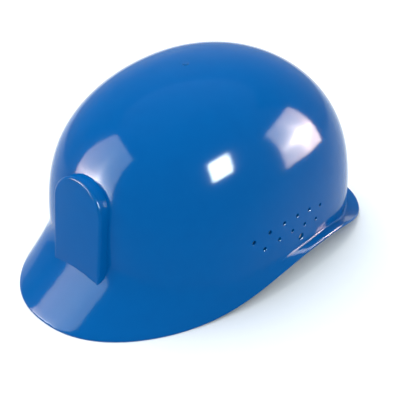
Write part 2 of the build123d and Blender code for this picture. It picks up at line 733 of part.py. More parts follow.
def cover_screw(grow=0.0):
    """Countersunk tapping screw driven outwards from the cover's inside, or its hole."""
    low = (Align.CENTER, Align.CENTER, Align.MIN)
    wide, narrow = COVER_SCREW_HEAD_RADIUS + grow, COVER_SCREW_RADIUS + grow
    head = Cone(wide, narrow, COVER_SCREW_HEAD_HEIGHT, align=low)
    shank = Cylinder(narrow, COVER_SCREW_LENGTH + grow, align=low)
    return Pos(0, 0, COVER_INNER) * (head + shank)


def make_ratchet_housing():
    """Outer half of the ratchet: strap channel, knob bearing and click ring."""
    bottom = BAND_MID_Z - HOUSING_HEIGHT / 2
    start, end = 90 - HOUSING_ANGLE, 90 + HOUSING_ANGLE
    housing = ring_sector(CHANNEL_INNER, HOUSING_OUTER, bottom, HOUSING_HEIGHT, start, end)
    housing += axial(RING_OUTER_RADIUS, CHANNEL_OUTER, HOUSING_OUTER + RING_DEPTH)
    housing -= axial(RING_ROOT_RADIUS, HOUSING_OUTER, HOUSING_OUTER + RING_DEPTH)
    housing += [knob_axis(HOUSING_OUTER) * tooth for tooth in ring_teeth()]
    low, height = BAND_MID_Z - CHANNEL_HALF_HEIGHT, 2 * CHANNEL_HALF_HEIGHT
    start, end = 90 - 2 * HOUSING_ANGLE, 90 + 2 * HOUSING_ANGLE
    housing -= ring_sector(COVER_INNER, CHANNEL_OUTER, low, height, start, end)
    housing -= axial(JOURNAL_RADIUS + RUNNING_CLEARANCE, 0, HOUSING_OUTER + RING_DEPTH)
    return housing - [place * cover_screw(RUNNING_CLEARANCE) for place in cover_screw_places()]


def make_ratchet_cover():
    """Inner half of the ratchet that closes the strap channel."""
    bottom = BAND_MID_Z - HOUSING_HEIGHT / 2
    start, end = 90 - HOUSING_ANGLE, 90 + HOUSING_ANGLE
    cover = ring_sector(COVER_INNER, CHANNEL_INNER, bottom, HOUSING_HEIGHT, start, end)
    cover -= axial(TAIL_JOURNAL_RADIUS + RUNNING_CLEARANCE, 0, CHANNEL_OUTER)
    return cover - [place * cover_screw(RUNNING_CLEARANCE) for place in cover_screw_places()]


def make_cover_screws():
    """The four cover screws."""
    return Compound([place * cover_screw() for place in cover_screw_places()])


def make_drive_pinion():
    """Pinion with its two journals and the square that turns with the knob."""
    gear_start = CHANNEL_INNER + CHANNEL_CLEARANCE / 2
    gear_end = CHANNEL_OUTER - CHANNEL_CLEARANCE / 2
    drive_start = HOUSING_OUTER + RUNNING_CLEARANCE
    pinion = axial(PITCH_RADIUS - DEDENDUM, gear_start, gear_end)
    outline = Pos(0, PITCH_RADIUS) * tooth_outline(-DEDENDUM - TOOTH_EMBED)
    tooth = extrude(outline, gear_end - gear_start)
    for i in range(PINION_TEETH):
        pinion += knob_axis(gear_start) * Rot(Z=i * 360 / PINION_TEETH) * tooth
    pinion += axial(TAIL_JOURNAL_RADIUS, COVER_INNER + RUNNING_CLEARANCE, gear_start)
    pinion += axial(JOURNAL_RADIUS, gear_end, drive_start)
    square = extrude(Rectangle(DRIVE_FLATS, DRIVE_FLATS), DRIVE_END - drive_start)
    pinion += knob_axis(drive_start) * square
    return pinion - axial(SCREW_RADIUS, DRIVE_END - SCREW_LENGTH, DRIVE_END)


def make_pawl_disc():
    """Click spring: a hub on the square with two curved arms whose tips meet the ring."""
    arm_radius = (PAWL_HUB_RADIUS + RING_TIP_RADIUS) / 2
    flats = DRIVE_FLATS + 2 * RUNNING_CLEARANCE
    hub = Circle(PAWL_HUB_RADIUS) - Rectangle(flats, flats)
    disc = extrude(hub, PAWL_THICKNESS)
    for turn in (0, 180):
        disc += Rot(Z=turn) * extrude(pawl_arm(arm_radius), PAWL_THICKNESS)
    return knob_axis(HOUSING_OUTER + KNOB_GAP) * disc


def on_circle(radius, angle):
    """Point of a circle at an angle from +Y, in degrees."""
    return radius * Vector(-sin(radians(angle)), cos(radians(angle)))


def pawl_arm(radius):
    """Curved arm of the click spring with its pointed tip."""
    half = PAWL_ARM_THICKNESS / 2
    reach = 2 * radius
    ring = Circle(radius + half) - Circle(radius - half)
    sweep = Polyline((0, 0), (reach, 0), (reach, reach), (-radius, reach), close=True)
    spoke_length = radius - PAWL_HUB_RADIUS + PAWL_THICKNESS
    spoke = Pos((PAWL_HUB_RADIUS + radius) / 2, half) * Rectangle(spoke_length, 2 * half)
    tip = on_circle(RING_TIP_RADIUS - PAWL_CLEARANCE, PAWL_TIP_ANGLE)
    base = [on_circle(radius, angle) for angle in PAWL_NOSE_ANGLES]
    nose = make_face(Polyline(base[0], tip, base[1], close=True))
    return (ring & make_face(sweep)) + spoke + nose


def make_knob():
    """Ribbed knob that turns the pinion, hollow over the click ring."""
    knob = axial(KNOB_RADIUS, KNOB_START, KNOB_END)
    knob = fillet(knob.edges().group_by(Axis.Y)[-1], KNOB_ROUND)
    groove = Pos(KNOB_RADIUS + KNOB_GROOVE_OFFSET, 0, 0) * Cylinder(KNOB_GROOVE_RADIUS, 2 * KNOB_DEPTH)
    for i in range(KNOB_RIBS):
        knob -= knob_axis(KNOB_START) * Rot(Z=i * 360 / KNOB_RIBS) * groove
    cavity_end = HOUSING_OUTER + RING_DEPTH + KNOB_GAP
    knob -= axial(RING_OUTER_RADIUS + KNOB_CAVITY_CLEARANCE, KNOB_START, cavity_end)
    flats = DRIVE_FLATS + 2 * RUNNING_CLEARANCE
    socket = extrude(Rectangle(flats, flats), DRIVE_END + RUNNING_CLEARANCE - cavity_end)
    knob -= knob_axis(cavity_end) * socket
    knob -= axial(SCREW_RADIUS + RUNNING_CLEARANCE, KNOB_START, KNOB_END)
    head = SCREW_HEAD_RADIUS + RUNNING_CLEARANCE
    return knob - axial(head, KNOB_END - SCREW_HEAD_HEIGHT, KNOB_END)


def make_knob_screw():
    """Screw that holds the knob on the pinion's square."""
    head_start = KNOB_END - SCREW_HEAD_HEIGHT
    screw = axial(SCREW_HEAD_RADIUS, head_start, KNOB_END - RUNNING_CLEARANCE)
    tip = DRIVE_END - SCREW_LENGTH + SCREW_TIP_GAP
    screw += axial(SCREW_RADIUS - RUNNING_CLEARANCE, tip, head_start)
    recess = Rectangle(SCREW_RECESS_LENGTH, SCREW_RECESS_WIDTH)
    recess += Rectangle(SCREW_RECESS_WIDTH, SCREW_RECESS_LENGTH)
    return screw - knob_axis(head_start + SCREW_HEAD_HEIGHT / 2) * extrude(recess, SCREW_HEAD_HEIGHT)


def make_nape_pad():
    """Foam pad on the inside of the ratchet cover."""
    start, end = 90 - NAPE_PAD_ANGLE, 90 + NAPE_PAD_ANGLE
    inner = COVER_INNER - NAPE_PAD_THICKNESS
    return ring_sector(inner, COVER_INNER, BAND_BOTTOM, BAND_HEIGHT, start, end)


# ------------------------------------------------------------------ whole cap
def make_parts():
    """Every part of the cap by its node name."""
    places = HANGERS
    upper_top = CROWN_TOP + WEBBING_THICKNESS + CROWN_GAP
    parts = {"shell": make_shell(), "headband": make_headband()}
    for name, place in places.items():
        parts[name] = make_hanger(place)
    pairs = {
        "crown_strap_lower": ("front_left_hanger", "rear_right_hanger", CROWN_TOP),
        "crown_strap_upper": ("front_right_hanger", "rear_left_hanger", upper_top),
    }
    for name, (first, last, top) in pairs.items():
        parts[name] = make_crown_strap(places[first], places[last], top)
    parts["crown_pad"] = make_crown_pad()
    parts["brow_pad"] = make_brow_pad()
    parts["left_rack_strap"] = make_rack_strap(1)
    parts["right_rack_strap"] = make_rack_strap(-1)
    parts["ratchet_housing"] = make_ratchet_housing()
    parts["ratchet_cover"] = make_ratchet_cover()
    parts["cover_screws"] = make_cover_screws()
    parts["drive_pinion"] = make_drive_pinion()
    parts["pawl_disc"] = make_pawl_disc()
    parts["ratchet_knob"] = make_knob()
    parts["knob_screw"] = make_knob_screw()
    parts["nape_pad"] = make_nape_pad()
    return parts


def main():
    """Write one STEP file for each part."""
    os.makedirs("parts", exist_ok=True)
    for name, part in make_parts().items():
        export_step(Pos(0, FRAME_SHIFT_Y, 0) * part, f"parts/{name}.step")


if __name__ == "__main__":
    main()
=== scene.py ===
"""Looks of a moulded bump cap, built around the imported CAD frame."""

import logging
import math
from dataclasses import dataclass, field
from enum import Enum

import bmesh
import bpy
from mathutils import Matrix, Vector


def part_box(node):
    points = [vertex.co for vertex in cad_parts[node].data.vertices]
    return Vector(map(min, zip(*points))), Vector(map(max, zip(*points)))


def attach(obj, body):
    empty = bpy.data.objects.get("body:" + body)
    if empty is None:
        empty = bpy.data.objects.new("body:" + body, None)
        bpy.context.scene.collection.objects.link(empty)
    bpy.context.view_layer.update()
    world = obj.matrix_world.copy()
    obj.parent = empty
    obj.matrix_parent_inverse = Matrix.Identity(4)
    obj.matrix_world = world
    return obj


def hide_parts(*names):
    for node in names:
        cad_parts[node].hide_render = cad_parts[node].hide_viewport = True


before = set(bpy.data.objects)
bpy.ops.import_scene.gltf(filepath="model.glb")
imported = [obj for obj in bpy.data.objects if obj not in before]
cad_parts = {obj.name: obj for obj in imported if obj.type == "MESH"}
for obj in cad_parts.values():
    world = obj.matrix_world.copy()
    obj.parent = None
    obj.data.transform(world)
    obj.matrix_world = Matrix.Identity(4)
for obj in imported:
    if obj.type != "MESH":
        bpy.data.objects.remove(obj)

LOG = logging.getLogger("bump_cap")
MM = 0.001
MERGE_DISTANCE = 0.004
FLAT_DEGREES = 0.5
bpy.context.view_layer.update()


# ---------------------------------------------------------------- mesh helpers
def object_from(bm: bmesh.types.BMesh, name: str) -> bpy.types.Object:
    """Turn a bmesh into a linked object at the origin.

    Args:
        bm: The mesh, freed afterwards.
        name: Name of the new object.

    Returns:
        The new object.
    """
    mesh = bpy.data.meshes.new(name)
    bm.to_mesh(mesh)
    bm.free()
    obj = bpy.data.objects.new(name, mesh)
    bpy.context.scene.collection.objects.link(obj)
    return obj


def bake(obj: bpy.types.Object) -> bpy.types.Object:
    """Replace an object's mesh with its modified mesh and drop the modifiers."""
    bpy.context.view_layer.update()
    graph = bpy.context.evaluated_depsgraph_get()
    mesh = bpy.data.meshes.new_from_object(obj.evaluated_get(graph), depsgraph=graph)
    old = obj.data
    obj.modifiers.clear()
    obj.data = mesh
    bpy.data.meshes.remove(old)
    return obj


def remove(obj: bpy.types.Object) -> None:
    """Delete a helper object and its mesh."""
    mesh = obj.data
    bpy.data.objects.remove(obj)
    bpy.data.meshes.remove(mesh)


def joined(parts: list[bpy.types.Object], name: str) -> bpy.types.Object:
    """Join several objects' meshes into one new object."""
    bm = bmesh.new()
    for part in parts:
        bm.from_mesh(part.data)
        remove(part)
    return object_from(bm, name)


def boolean(obj: bpy.types.Object, other: bpy.types.Object, operation: str) -> bpy.types.Object:
    """Apply an exact boolean to an object and delete the other operand."""
    modifier = obj.modifiers.new("cut", "BOOLEAN")
    modifier.operation = operation
    modifier.solver = "EXACT"
    modifier.object = other
    bake(obj)
    remove(other)
    return obj


def smooth_by_angle(obj: bpy.types.Object, degrees: float) -> bpy.types.Object:
    """Shade a mesh smooth except across edges sharper than an angle."""
    obj.data.shade_smooth()
    obj.data.set_sharp_from_angle(angle=math.radians(degrees))
    return obj


def welded(node: str, name: str) -> bpy.types.Object:
    """Copy a CAD node's mesh into a new object with its loose triangles merged.

    Args:
        node: Name of the CAD node.
        name: Name of the new object.

    Returns:
        The copy, with flat regions dissolved into single faces.
    """
    bm = bmesh.new()
    bm.from_mesh(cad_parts[node].data)
    bmesh.ops.remove_doubles(bm, verts=bm.verts, dist=MERGE_DISTANCE * MM)
    bmesh.ops.dissolve_degenerate(bm, dist=MERGE_DISTANCE * MM, edges=bm.edges)
    bmesh.ops.dissolve_limit(
        bm,
        angle_limit=math.radians(FLAT_DEGREES),
        verts=bm.verts,
        edges=bm.edges,
        delimit=set(),
    )
    return object_from(bm, name)


def add_bevel(obj: bpy.types.Object, width: float, segments: int, degrees: float) -> None:
    """Round the edges of a mesh that are sharper than an angle.

    Args:
        obj: The object.
        width: Width of the rounding, in millimetres.
        segments: Number of facets across it.
        degrees: The least angle that is rounded.
    """
    modifier = obj.modifiers.new("rounding", "BEVEL")
    modifier.width = width * MM
    modifier.segments = segments
    modifier.limit_method = "ANGLE"
    modifier.angle_limit = math.radians(degrees)
    modifier.use_clamp_overlap = True
    modifier.harden_normals = False


# ---------------------------------------------------------------- finishes
class Surface(Enum):
    """The kinds of surface on the cap."""

    GLOSS = "gloss"
    SATIN = "satin"
    GRAINED = "grained"
    KNIT = "knit"
    WOVEN = "woven"
    METAL = "metal"


@dataclass(frozen=True)
class Finish:
    """A material's colours and its small-scale relief.

    Args:
        name: Name of the material.
        surface: Kind of surface.
        dark: Linear colour of its darker parts.
        light: Linear colour of its lighter parts.
        rough: Lowest and highest roughness.
        grain: Size of the relief's cells, in millimetres.
        relief: Depth of the relief, in millimetres.
        specular: Specular level set on the shader.
        sheen: Sheen weight set on the shader.
        ior: Index of refraction set on the shader.
        tint: Tint of the reflection seen square on.
        spread: Levels of the patterns that give the dark and the light parts.
        broad: Size of the broad mottling, in cells of the relief.
    """

    name: str
    surface: Surface
    dark: tuple[float, float, float]
    light: tuple[float, float, float]
    rough: tuple[float, float]
    grain: float
    relief: float
    specular: float = 0.5
    sheen: float = 0.0
    ior: float = 1.5
    tint: tuple[float, float, float] = (1.0, 1.0, 1.0)
    spread: tuple[float, float] = (0.3, 0.7)
    broad: float = 14.0

    def material(self) -> bpy.types.Material:
        """Return the material, made on first use."""
        found = bpy.data.materials.get(self.name)
        if found is not None:
            return found
        material = bpy.data.materials.new(self.name)
        material.use_nodes = True
        tree = material.node_tree
        shader = tree.nodes["Principled BSDF"]
        shader.inputs["Specular IOR Level"].default_value = self.specular
        shader.inputs["Sheen Weight"].default_value = self.sheen
        shader.inputs["IOR"].default_value = self.ior
        shader.inputs["Specular Tint"].default_value = (*self.tint, 1)
        shader.inputs["Metallic"].default_value = 1.0 if self.surface is Surface.METAL else 0.0
        coordinates = tree.nodes.new("ShaderNodeTexCoord").outputs["Object"]
        pattern = self.pattern(tree, coordinates)
        broad = self.noise(tree, coordinates, self.grain * self.broad, 2.0)
        self.ramp(tree, broad, pattern, shader)
        bump = tree.nodes.new("ShaderNodeBump")
        bump.inputs["Strength"].default_value = 1.0
        bump.inputs["Distance"].default_value = self.relief * MM
        tree.links.new(pattern, bump.inputs["Height"])
        tree.links.new(bump.outputs["Normal"], shader.inputs["Normal"])
        return material

    def noise(
        self,
        tree: bpy.types.NodeTree,
        coordinates: bpy.types.NodeSocket,
        size: float,
        detail: float,
    ) -> bpy.types.NodeSocket:
        """Add a noise pattern with cells of a size in millimetres."""
        node = tree.nodes.new("ShaderNodeTexNoise")
        node.inputs["Scale"].default_value = 1 / (size * MM)
        node.inputs["Detail"].default_value = detail
        tree.links.new(coordinates, node.inputs["Vector"])
        return node.outputs["Fac"]

    def pattern(
        self, tree: bpy.types.NodeTree, coordinates: bpy.types.NodeSocket
    ) -> bpy.types.NodeSocket:
        """Add the relief pattern that suits the surface."""
        if self.surface in (Surface.KNIT, Surface.WOVEN):
            node = tree.nodes.new("ShaderNodeTexVoronoi")
            node.inputs["Scale"].default_value = 1 / (self.grain * MM)
            node.inputs["Randomness"].default_value = 0.25 if self.surface is Surface.WOVEN else 0.7
            tree.links.new(coordinates, node.inputs["Vector"])
            return node.outputs["Distance"]
        if self.surface is Surface.GRAINED:
            node = tree.nodes.new("ShaderNodeTexVoronoi")
            node.feature = "SMOOTH_F1"
            node.inputs["Scale"].default_value = 1 / (self.grain * MM)
            tree.links.new(coordinates, node.inputs["Vector"])
            return node.outputs["Distance"]
        detail = 6.0 if self.surface is Surface.METAL else 2.0
        return self.noise(tree, coordinates, self.grain, detail)

    def ramp(
        self,
        tree: bpy.types.NodeTree,
        broad: bpy.types.NodeSocket,
        pattern: bpy.types.NodeSocket,
        shader: bpy.types.Node,
    ) -> None:
        """Drive colour and roughness from the broad and fine patterns."""
        mix = tree.nodes.new("ShaderNodeMath")
        mix.operation = "MULTIPLY_ADD"
        mix.inputs[1].default_value = 0.5
        tree.links.new(pattern, mix.inputs[0])
        half = tree.nodes.new("ShaderNodeMath")
        half.operation = "MULTIPLY"
        half.inputs[1].default_value = 0.5
        tree.links.new(broad, half.inputs[0])
        tree.links.new(half.outputs[0], mix.inputs[2])
        colour = tree.nodes.new("ShaderNodeValToRGB")
        colour.color_ramp.elements[0].position = self.spread[0]
        colour.color_ramp.elements[0].color = (*self.dark, 1)
        colour.color_ramp.elements[1].position = self.spread[1]
        colour.color_ramp.elements[1].color = (*self.light, 1)
        tree.links.new(mix.outputs[0], colour.inputs[0])
        tree.links.new(colour.outputs[0], shader.inputs["Base Color"])
        rough = tree.nodes.new("ShaderNodeMapRange")
        rough.inputs["From Min"].default_value = self.spread[0]
        rough.inputs["From Max"].default_value = self.spread[1]
        rough.inputs["To Min"].default_value = self.rough[0]
        rough.inputs["To Max"].default_value = self.rough[1]
        tree.links.new(broad, rough.inputs["Value"])
        tree.links.new(rough.outputs["Result"], shader.inputs["Roughness"])


SHELL_BLUE = Finish(
    "shell_blue",
    Surface.GLOSS,
    (0.0, 0.082, 0.280),
    (0.0, 0.090, 0.300),
    (0.09, 0.12),
    9.0,
    0.004,
    specular=0.8,
    ior=1.12,
    tint=(0.45, 0.8, 1.0),
)
HARNESS_WHITE = Finish(
    "harness_white",
    Surface.SATIN,
    (0.66, 0.66, 0.62),
    (0.74, 0.74, 0.70),
    (0.38, 0.50),
    0.8,
    0.010,
    0.4,
)
WEBBING_BLACK = Finish(
    "webbing_black",
    Surface.WOVEN,
    (0.010, 0.011, 0.014),
    (0.040, 0.043, 0.052),
    (0.75, 0.90),
    0.9,
    0.16,
    0.2,
    0.2,
)
PAD_FABRIC = Finish(
    "pad_fabric",
    Surface.KNIT,
    (0.012, 0.013, 0.015),
    (0.036, 0.038, 0.042),
    (0.85, 0.95),
    0.7,
    0.12,
    0.2,
    0.4,
)
THREAD_GREY = Finish(
    "thread_grey",
    Surface.WOVEN,
    (0.10, 0.10, 0.11),
    (0.20, 0.20, 0.21),
    (0.6, 0.8),
    0.35,
    0.05,
    0.3,
)
RATCHET_BLACK = Finish(
    "ratchet_black",
    Surface.GRAINED,
    (0.008, 0.008, 0.009),
    (0.014, 0.014, 0.015),
    (0.42, 0.55),
    0.6,
    0.03,
    0.45,
)
KNOB_BLACK = Finish(
    "knob_black",
    Surface.SATIN,
    (0.007, 0.007, 0.008),
    (0.012, 0.012, 0.013),
    (0.30, 0.42),
    0.9,
    0.012,
    0.5,
)
ACETAL = Finish(
    "acetal",
    Surface.SATIN,
    (0.72, 0.71, 0.66),
    (0.79, 0.78, 0.73),
    (0.30, 0.40),
    1.2,
    0.006,
    0.5,
)
SCREW_ZINC = Finish(
    "screw_zinc",
    Surface.METAL,
    (0.48, 0.48, 0.47),
    (0.62, 0.62, 0.60),
    (0.25, 0.42),
    0.3,
    0.004,
    0.5,
)


def dress(
    obj: bpy.types.Object, finish: Finish, body: str, slot: str, node: str | None = None
) -> bpy.types.Object:
    """Give a finished piece its material and body, and hide the CAD node it stands for."""
    obj.data.materials.clear()
    obj.data.materials.append(finish.material())
    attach(obj, body)
    if node is not None:
        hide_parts(node)
    return obj


# ---------------------------------------------------------------- shell
@dataclass(frozen=True)
class SkinSizes:
    """Sizes of the dome, its edge and its brim, in millimetres."""

    wall: float = 2.0
    height: float = 140.0
    half_width: float = 93.0
    front_reach: float = 124.0
    rear_reach: float = 121.5
    plan_power: float = 2.6
    side_fall: tuple[float, float] = (3.6, 2.28)
    front_fall: tuple[float, float] = (3.95, 2.14)
    rear_fall: tuple[float, float] = (2.26, 2.45)
    edge_half_width: float = 98.3
    edge_front_reach: float = 174.2
    edge_rear_reach: float = 115.8
    edge_centre_y: float = 11.5
    edge_front_power: float = 2.23
    edge_rear_power: float = 3.0
    edge_rise: float = 16.0
    edge_sharpness: float = 4.0
    rest_trim: float = 0.6
    lip_height: float = 2.8
    lip_round: float = 0.7
    front_flare: float = 32.0
    side_flare: float = 5.6
    flare_power: float = 1.65
    crease_blend: float = 0.22
    crease_run_out: float = 1.0
    columns: int = 240
    lip_rows: int = 6
    brim_rows: int = 10
    crease_rows: int = 12
    dome_rows: int = 58


class Skin:
    """The cap's outer skin as a function of plan angle and row.

    Args:
        sizes: The skin's sizes.
        shift: Distance along Y from the dome's axis to the frame's origin, in millimetres.
    """

    def __init__(self, sizes: SkinSizes, shift: float) -> None:
        self.sizes = sizes
        self.shift = shift

    def place(self, x: float, y: float, z: float) -> Vector:
        """Point of the frame in metres for a point on the dome's own axes in millimetres."""
        return Vector((x, y + self.shift, z)) * MM

    @staticmethod
    def fall(level: float, powers: tuple[float, float]) -> float:
        """Share of the widest radius left at a share of the height."""
        return max(0.0, 1 - level ** powers[0]) ** (1 / powers[1])

    @staticmethod
    def oval(angle: float, half_width: float, reach: float, power: float) -> float:
        """Plan radius of a super-ellipse at an angle."""
        across = abs(math.cos(angle)) / half_width
        along = abs(math.sin(angle)) / reach
        return (across**power + along**power) ** (-1 / power)

    def dome_radius(self, angle: float, z: float) -> float:
        """Plan radius of the dome at an angle and a height, in millimetres."""
        size = self.sizes
        level = min(1.0, z / size.height)
        if level >= 1.0:
            return 0.0
        front = math.sin(angle) < 0
        reach = size.front_reach if front else size.rear_reach
        reach *= self.fall(level, size.front_fall if front else size.rear_fall)
        power = size.plan_power + (2 - size.plan_power) * level**2
        return self.oval(angle, size.half_width * self.fall(level, size.side_fall), reach, power)

    def dome(self, angle: float, z: float) -> Vector:
        """Point of the dome, in millimetres on its own axes."""
        radius = self.dome_radius(angle, z)
        return Vector((radius * math.cos(angle), radius * math.sin(angle), z))

    def edge(self, angle: float, inset: float, lift: float) -> Vector:
        """Point of the edge, drawn in and lifted, in millimetres."""
        size = self.sizes
        front = math.sin(angle) < 0
        reach = size.edge_front_reach if front else size.edge_rear_reach
        power = size.edge_front_power if front else size.edge_rear_power
        radius = self.oval(angle, size.edge_half_width, reach, power)
        share = abs(radius * math.cos(angle)) / size.edge_half_width
        rise = (size.edge_rise + size.rest_trim) * share ** (4 * size.edge_sharpness)
        radius -= inset
        x, y = radius * math.cos(angle), size.edge_centre_y + radius * math.sin(angle)
        return Vector((x, y, rise - size.rest_trim + lift))

    def column(self, angle: float) -> list[Vector]:
        """Points up the skin at one plan angle, from the lip's foot to the dome's top."""
        size = self.sizes
        points = []
        for row in range(size.lip_rows):
            turn = 2 * row / (size.lip_rows - 1) - 1
            inset = size.lip_round * turn * turn
            points.append(self.edge(angle, inset, size.lip_height / 2 * (1 + turn)))
        lip = points[-1]
        share = max(0.0, -math.sin(angle)) ** size.flare_power
        flare = size.side_flare + (size.front_flare - size.side_flare) * share
        crease = self.dome(angle, self.edge(angle, 0.0, 0.0).z + flare)
        below = crease.lerp(lip, size.crease_blend)
        above_z = crease.z + (crease.z - lip.z) * size.crease_blend + size.crease_run_out
        above = self.dome(angle, above_z)
        for row in range(1, size.brim_rows + 1):
            points.append(lip.lerp(below, row / size.brim_rows))
        for row in range(1, size.crease_rows + 1):
            share = row / size.crease_rows
            points.append(below.lerp(crease, share).lerp(crease.lerp(above, share), share))
        for row in range(1, size.dome_rows + 1):
            share = math.sin(row / size.dome_rows * math.pi / 2)
            points.append(self.dome(angle, above_z + (size.height - above_z) * share))
        return points

    def side_point(self, y: float, z: float) -> Vector:
        """Point of the dome's left side at a Y and a height, in millimetres."""
        low, high = 0.0, self.sizes.half_width
        for _ in range(40):
            x = (low + high) / 2
            inside = math.hypot(x, y) < self.dome_radius(math.atan2(y, x), z)
            low, high = (x, high) if inside else (low, x)
        return Vector((low, y, z))

    def sheet(self, depth: float) -> bmesh.types.BMesh:
        """The open skin, moved inwards by a depth in millimetres, its faces pointing out."""
        size = self.sizes
        columns = [
            self.column(math.pi / 2 + 2 * math.pi * i / size.columns)
            for i in range(size.columns + 1)
        ]
        rows = len(columns[0]) - 1
        bm = bmesh.new()
        bmesh.ops.create_grid(bm, x_segments=size.columns, y_segments=rows, size=0.5)
        for vert in bm.verts:
            i = round((vert.co.x + 0.5) * size.columns)
            j = round((vert.co.y + 0.5) * rows)
            vert.co = self.place(*columns[i][j])
        bmesh.ops.remove_doubles(bm, verts=bm.verts, dist=0.01 * MM)
        bmesh.ops.recalc_face_normals(bm, faces=bm.faces)
        top = max(bm.faces, key=lambda face: face.calc_center_median().z)
        if top.normal.z < 0:
            bmesh.ops.reverse_faces(bm, faces=bm.faces)
        bm.normal_update()
        for vert in bm.verts:
            vert.co -= vert.normal * depth * MM
        return bm

    def core(self, depth: float) -> bpy.types.Object:
        """Closed solid of everything inside the skin less a depth."""
        bm = self.sheet(depth)
        border = [edge for edge in bm.edges if edge.is_boundary]
        grown = bmesh.ops.extrude_edge_only(bm, edges=border)["geom"]
        tip = [item for item in grown if isinstance(item, bmesh.types.BMVert)]
        bmesh.ops.pointmerge(bm, verts=tip, merge_co=self.place(0, 0, -self.sizes.height))
        bmesh.ops.recalc_face_normals(bm, faces=bm.faces)
        return object_from(bm, "core")


@dataclass(frozen=True)
class BadgeSizes:
    """Sizes of the arched badge plate, in millimetres."""

    width: float = 47.0
    top: float = 92.0
    arch_rise: float = 21.0
    foot: float = 18.0
    face_y: float = -131.0
    face_z: float = 26.0
    lean: float = 7.6
    rounding: float = 1.8
    pocket_foot: float = 42.0
    depth: float = 31.0
    outline_points: int = 128


@dataclass(frozen=True)
class HoleSizes:
    """Places and sizes of the vents, strap holes and gate mark, in millimetres."""

    vent_radius: float = 1.4
    vent_pitch: float = 14.1
    vent_rows: tuple[tuple[int, float, float], ...] = ((6, -15.5, 50.1), (5, -13.3, 39.8))
    row_radius: float = 160.0
    row_centre_y: float = -20.0
    strap_radius: float = 2.5
    strap_y: float = -2.6
    strap_z: float = 29.5
    countersink: float = 0.35
    gate_y: float = -22.0
    gate_radius: float = 2.3
    gate_height: float = 0.6
    gate_rounding: float = 0.35
    drill_depth: float = 6.0


@dataclass(frozen=True)
class SocketSizes:
    """Sizes of the hanger sockets moulded on the wall, in millimetres."""

    bottom: float = 42.0
    height: float = 13.0
    wall: float = 1.9
    clearance: float = 0.2
    tongue: float = 2.4
    width: float = 20.0
    reach: float = 12.0
    rounding: float = 0.6


@dataclass(frozen=True)
class BandSizes:
    """Plan of the headband, in millimetres."""

    centre_y: float = 9.0
    radius: float = 80.0
    front_reach: float = 122.0
    front_angle: float = 40.0
    rear_angle: float = 34.0
    thickness: float = 1.6


class HangerPlace:
    """Where one hanger meets the headband and the way it faces.

    Args:
        node: Name of the hanger's CAD node.
        band: Plan of the headband.
        skin: The cap's skin.
    """

    def __init__(self, node: str, band: BandSizes, skin: Skin) -> None:
        side = 1 if "left" in node else -1
        front = node.startswith("front")
        angle = math.radians(band.front_angle if front else band.rear_angle)
        reach = -band.front_reach if front else band.radius
        x = band.radius * math.cos(angle)
        y = band.centre_y + reach * math.sin(angle)
        out = Vector((math.cos(angle) / band.radius, math.sin(angle) / reach, 0)).normalized()
        self.out = Vector((side * out.x, out.y, 0))
        self.origin = skin.place(side * x, y, 0)
        across = Vector((0, 0, 1)).cross(self.out)
        self.matrix = Matrix((self.out, across, Vector((0, 0, 1)))).transposed().to_4x4()
        self.matrix.translation = self.origin
        self.node = node

    def tongue_reach(self, above: float) -> float:
        """Outward distance of the hanger's tongue, from its CAD mesh above a height."""
        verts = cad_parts[self.node].data.vertices
        high = [v.co for v in verts if v.co.z > above * MM]
        return max((co - self.origin).dot(self.out) for co in high) / MM

    def block(
        self, out: tuple[float, float], width: float, bottom: float, top: float, rounding: float
    ) -> bpy.types.Object:
        """Upright box between two outward distances, centred on the hanger."""
        bm = bmesh.new()
        bmesh.ops.create_cube(bm, size=1.0)
        size = Vector((out[1] - out[0], width, top - bottom)) * MM
        middle = Vector(((out[0] + out[1]) / 2, 0, (top + bottom) / 2)) * MM
        bmesh.ops.scale(bm, vec=size, verts=bm.verts)
        bmesh.ops.translate(bm, vec=middle, verts=bm.verts)
        if rounding:
            bmesh.ops.bevel(
                bm,
                geom=bm.edges,
                offset=rounding * MM,
                segments=3,
                profile=0.5,
                affect="EDGES",
                material=-1,
            )
        bmesh.ops.transform(bm, matrix=self.matrix, verts=bm.verts)
        return object_from(bm, "block")


HANGER_NODES = (
    "front_left_hanger",
    "front_right_hanger",
    "rear_left_hanger",
    "rear_right_hanger",
)


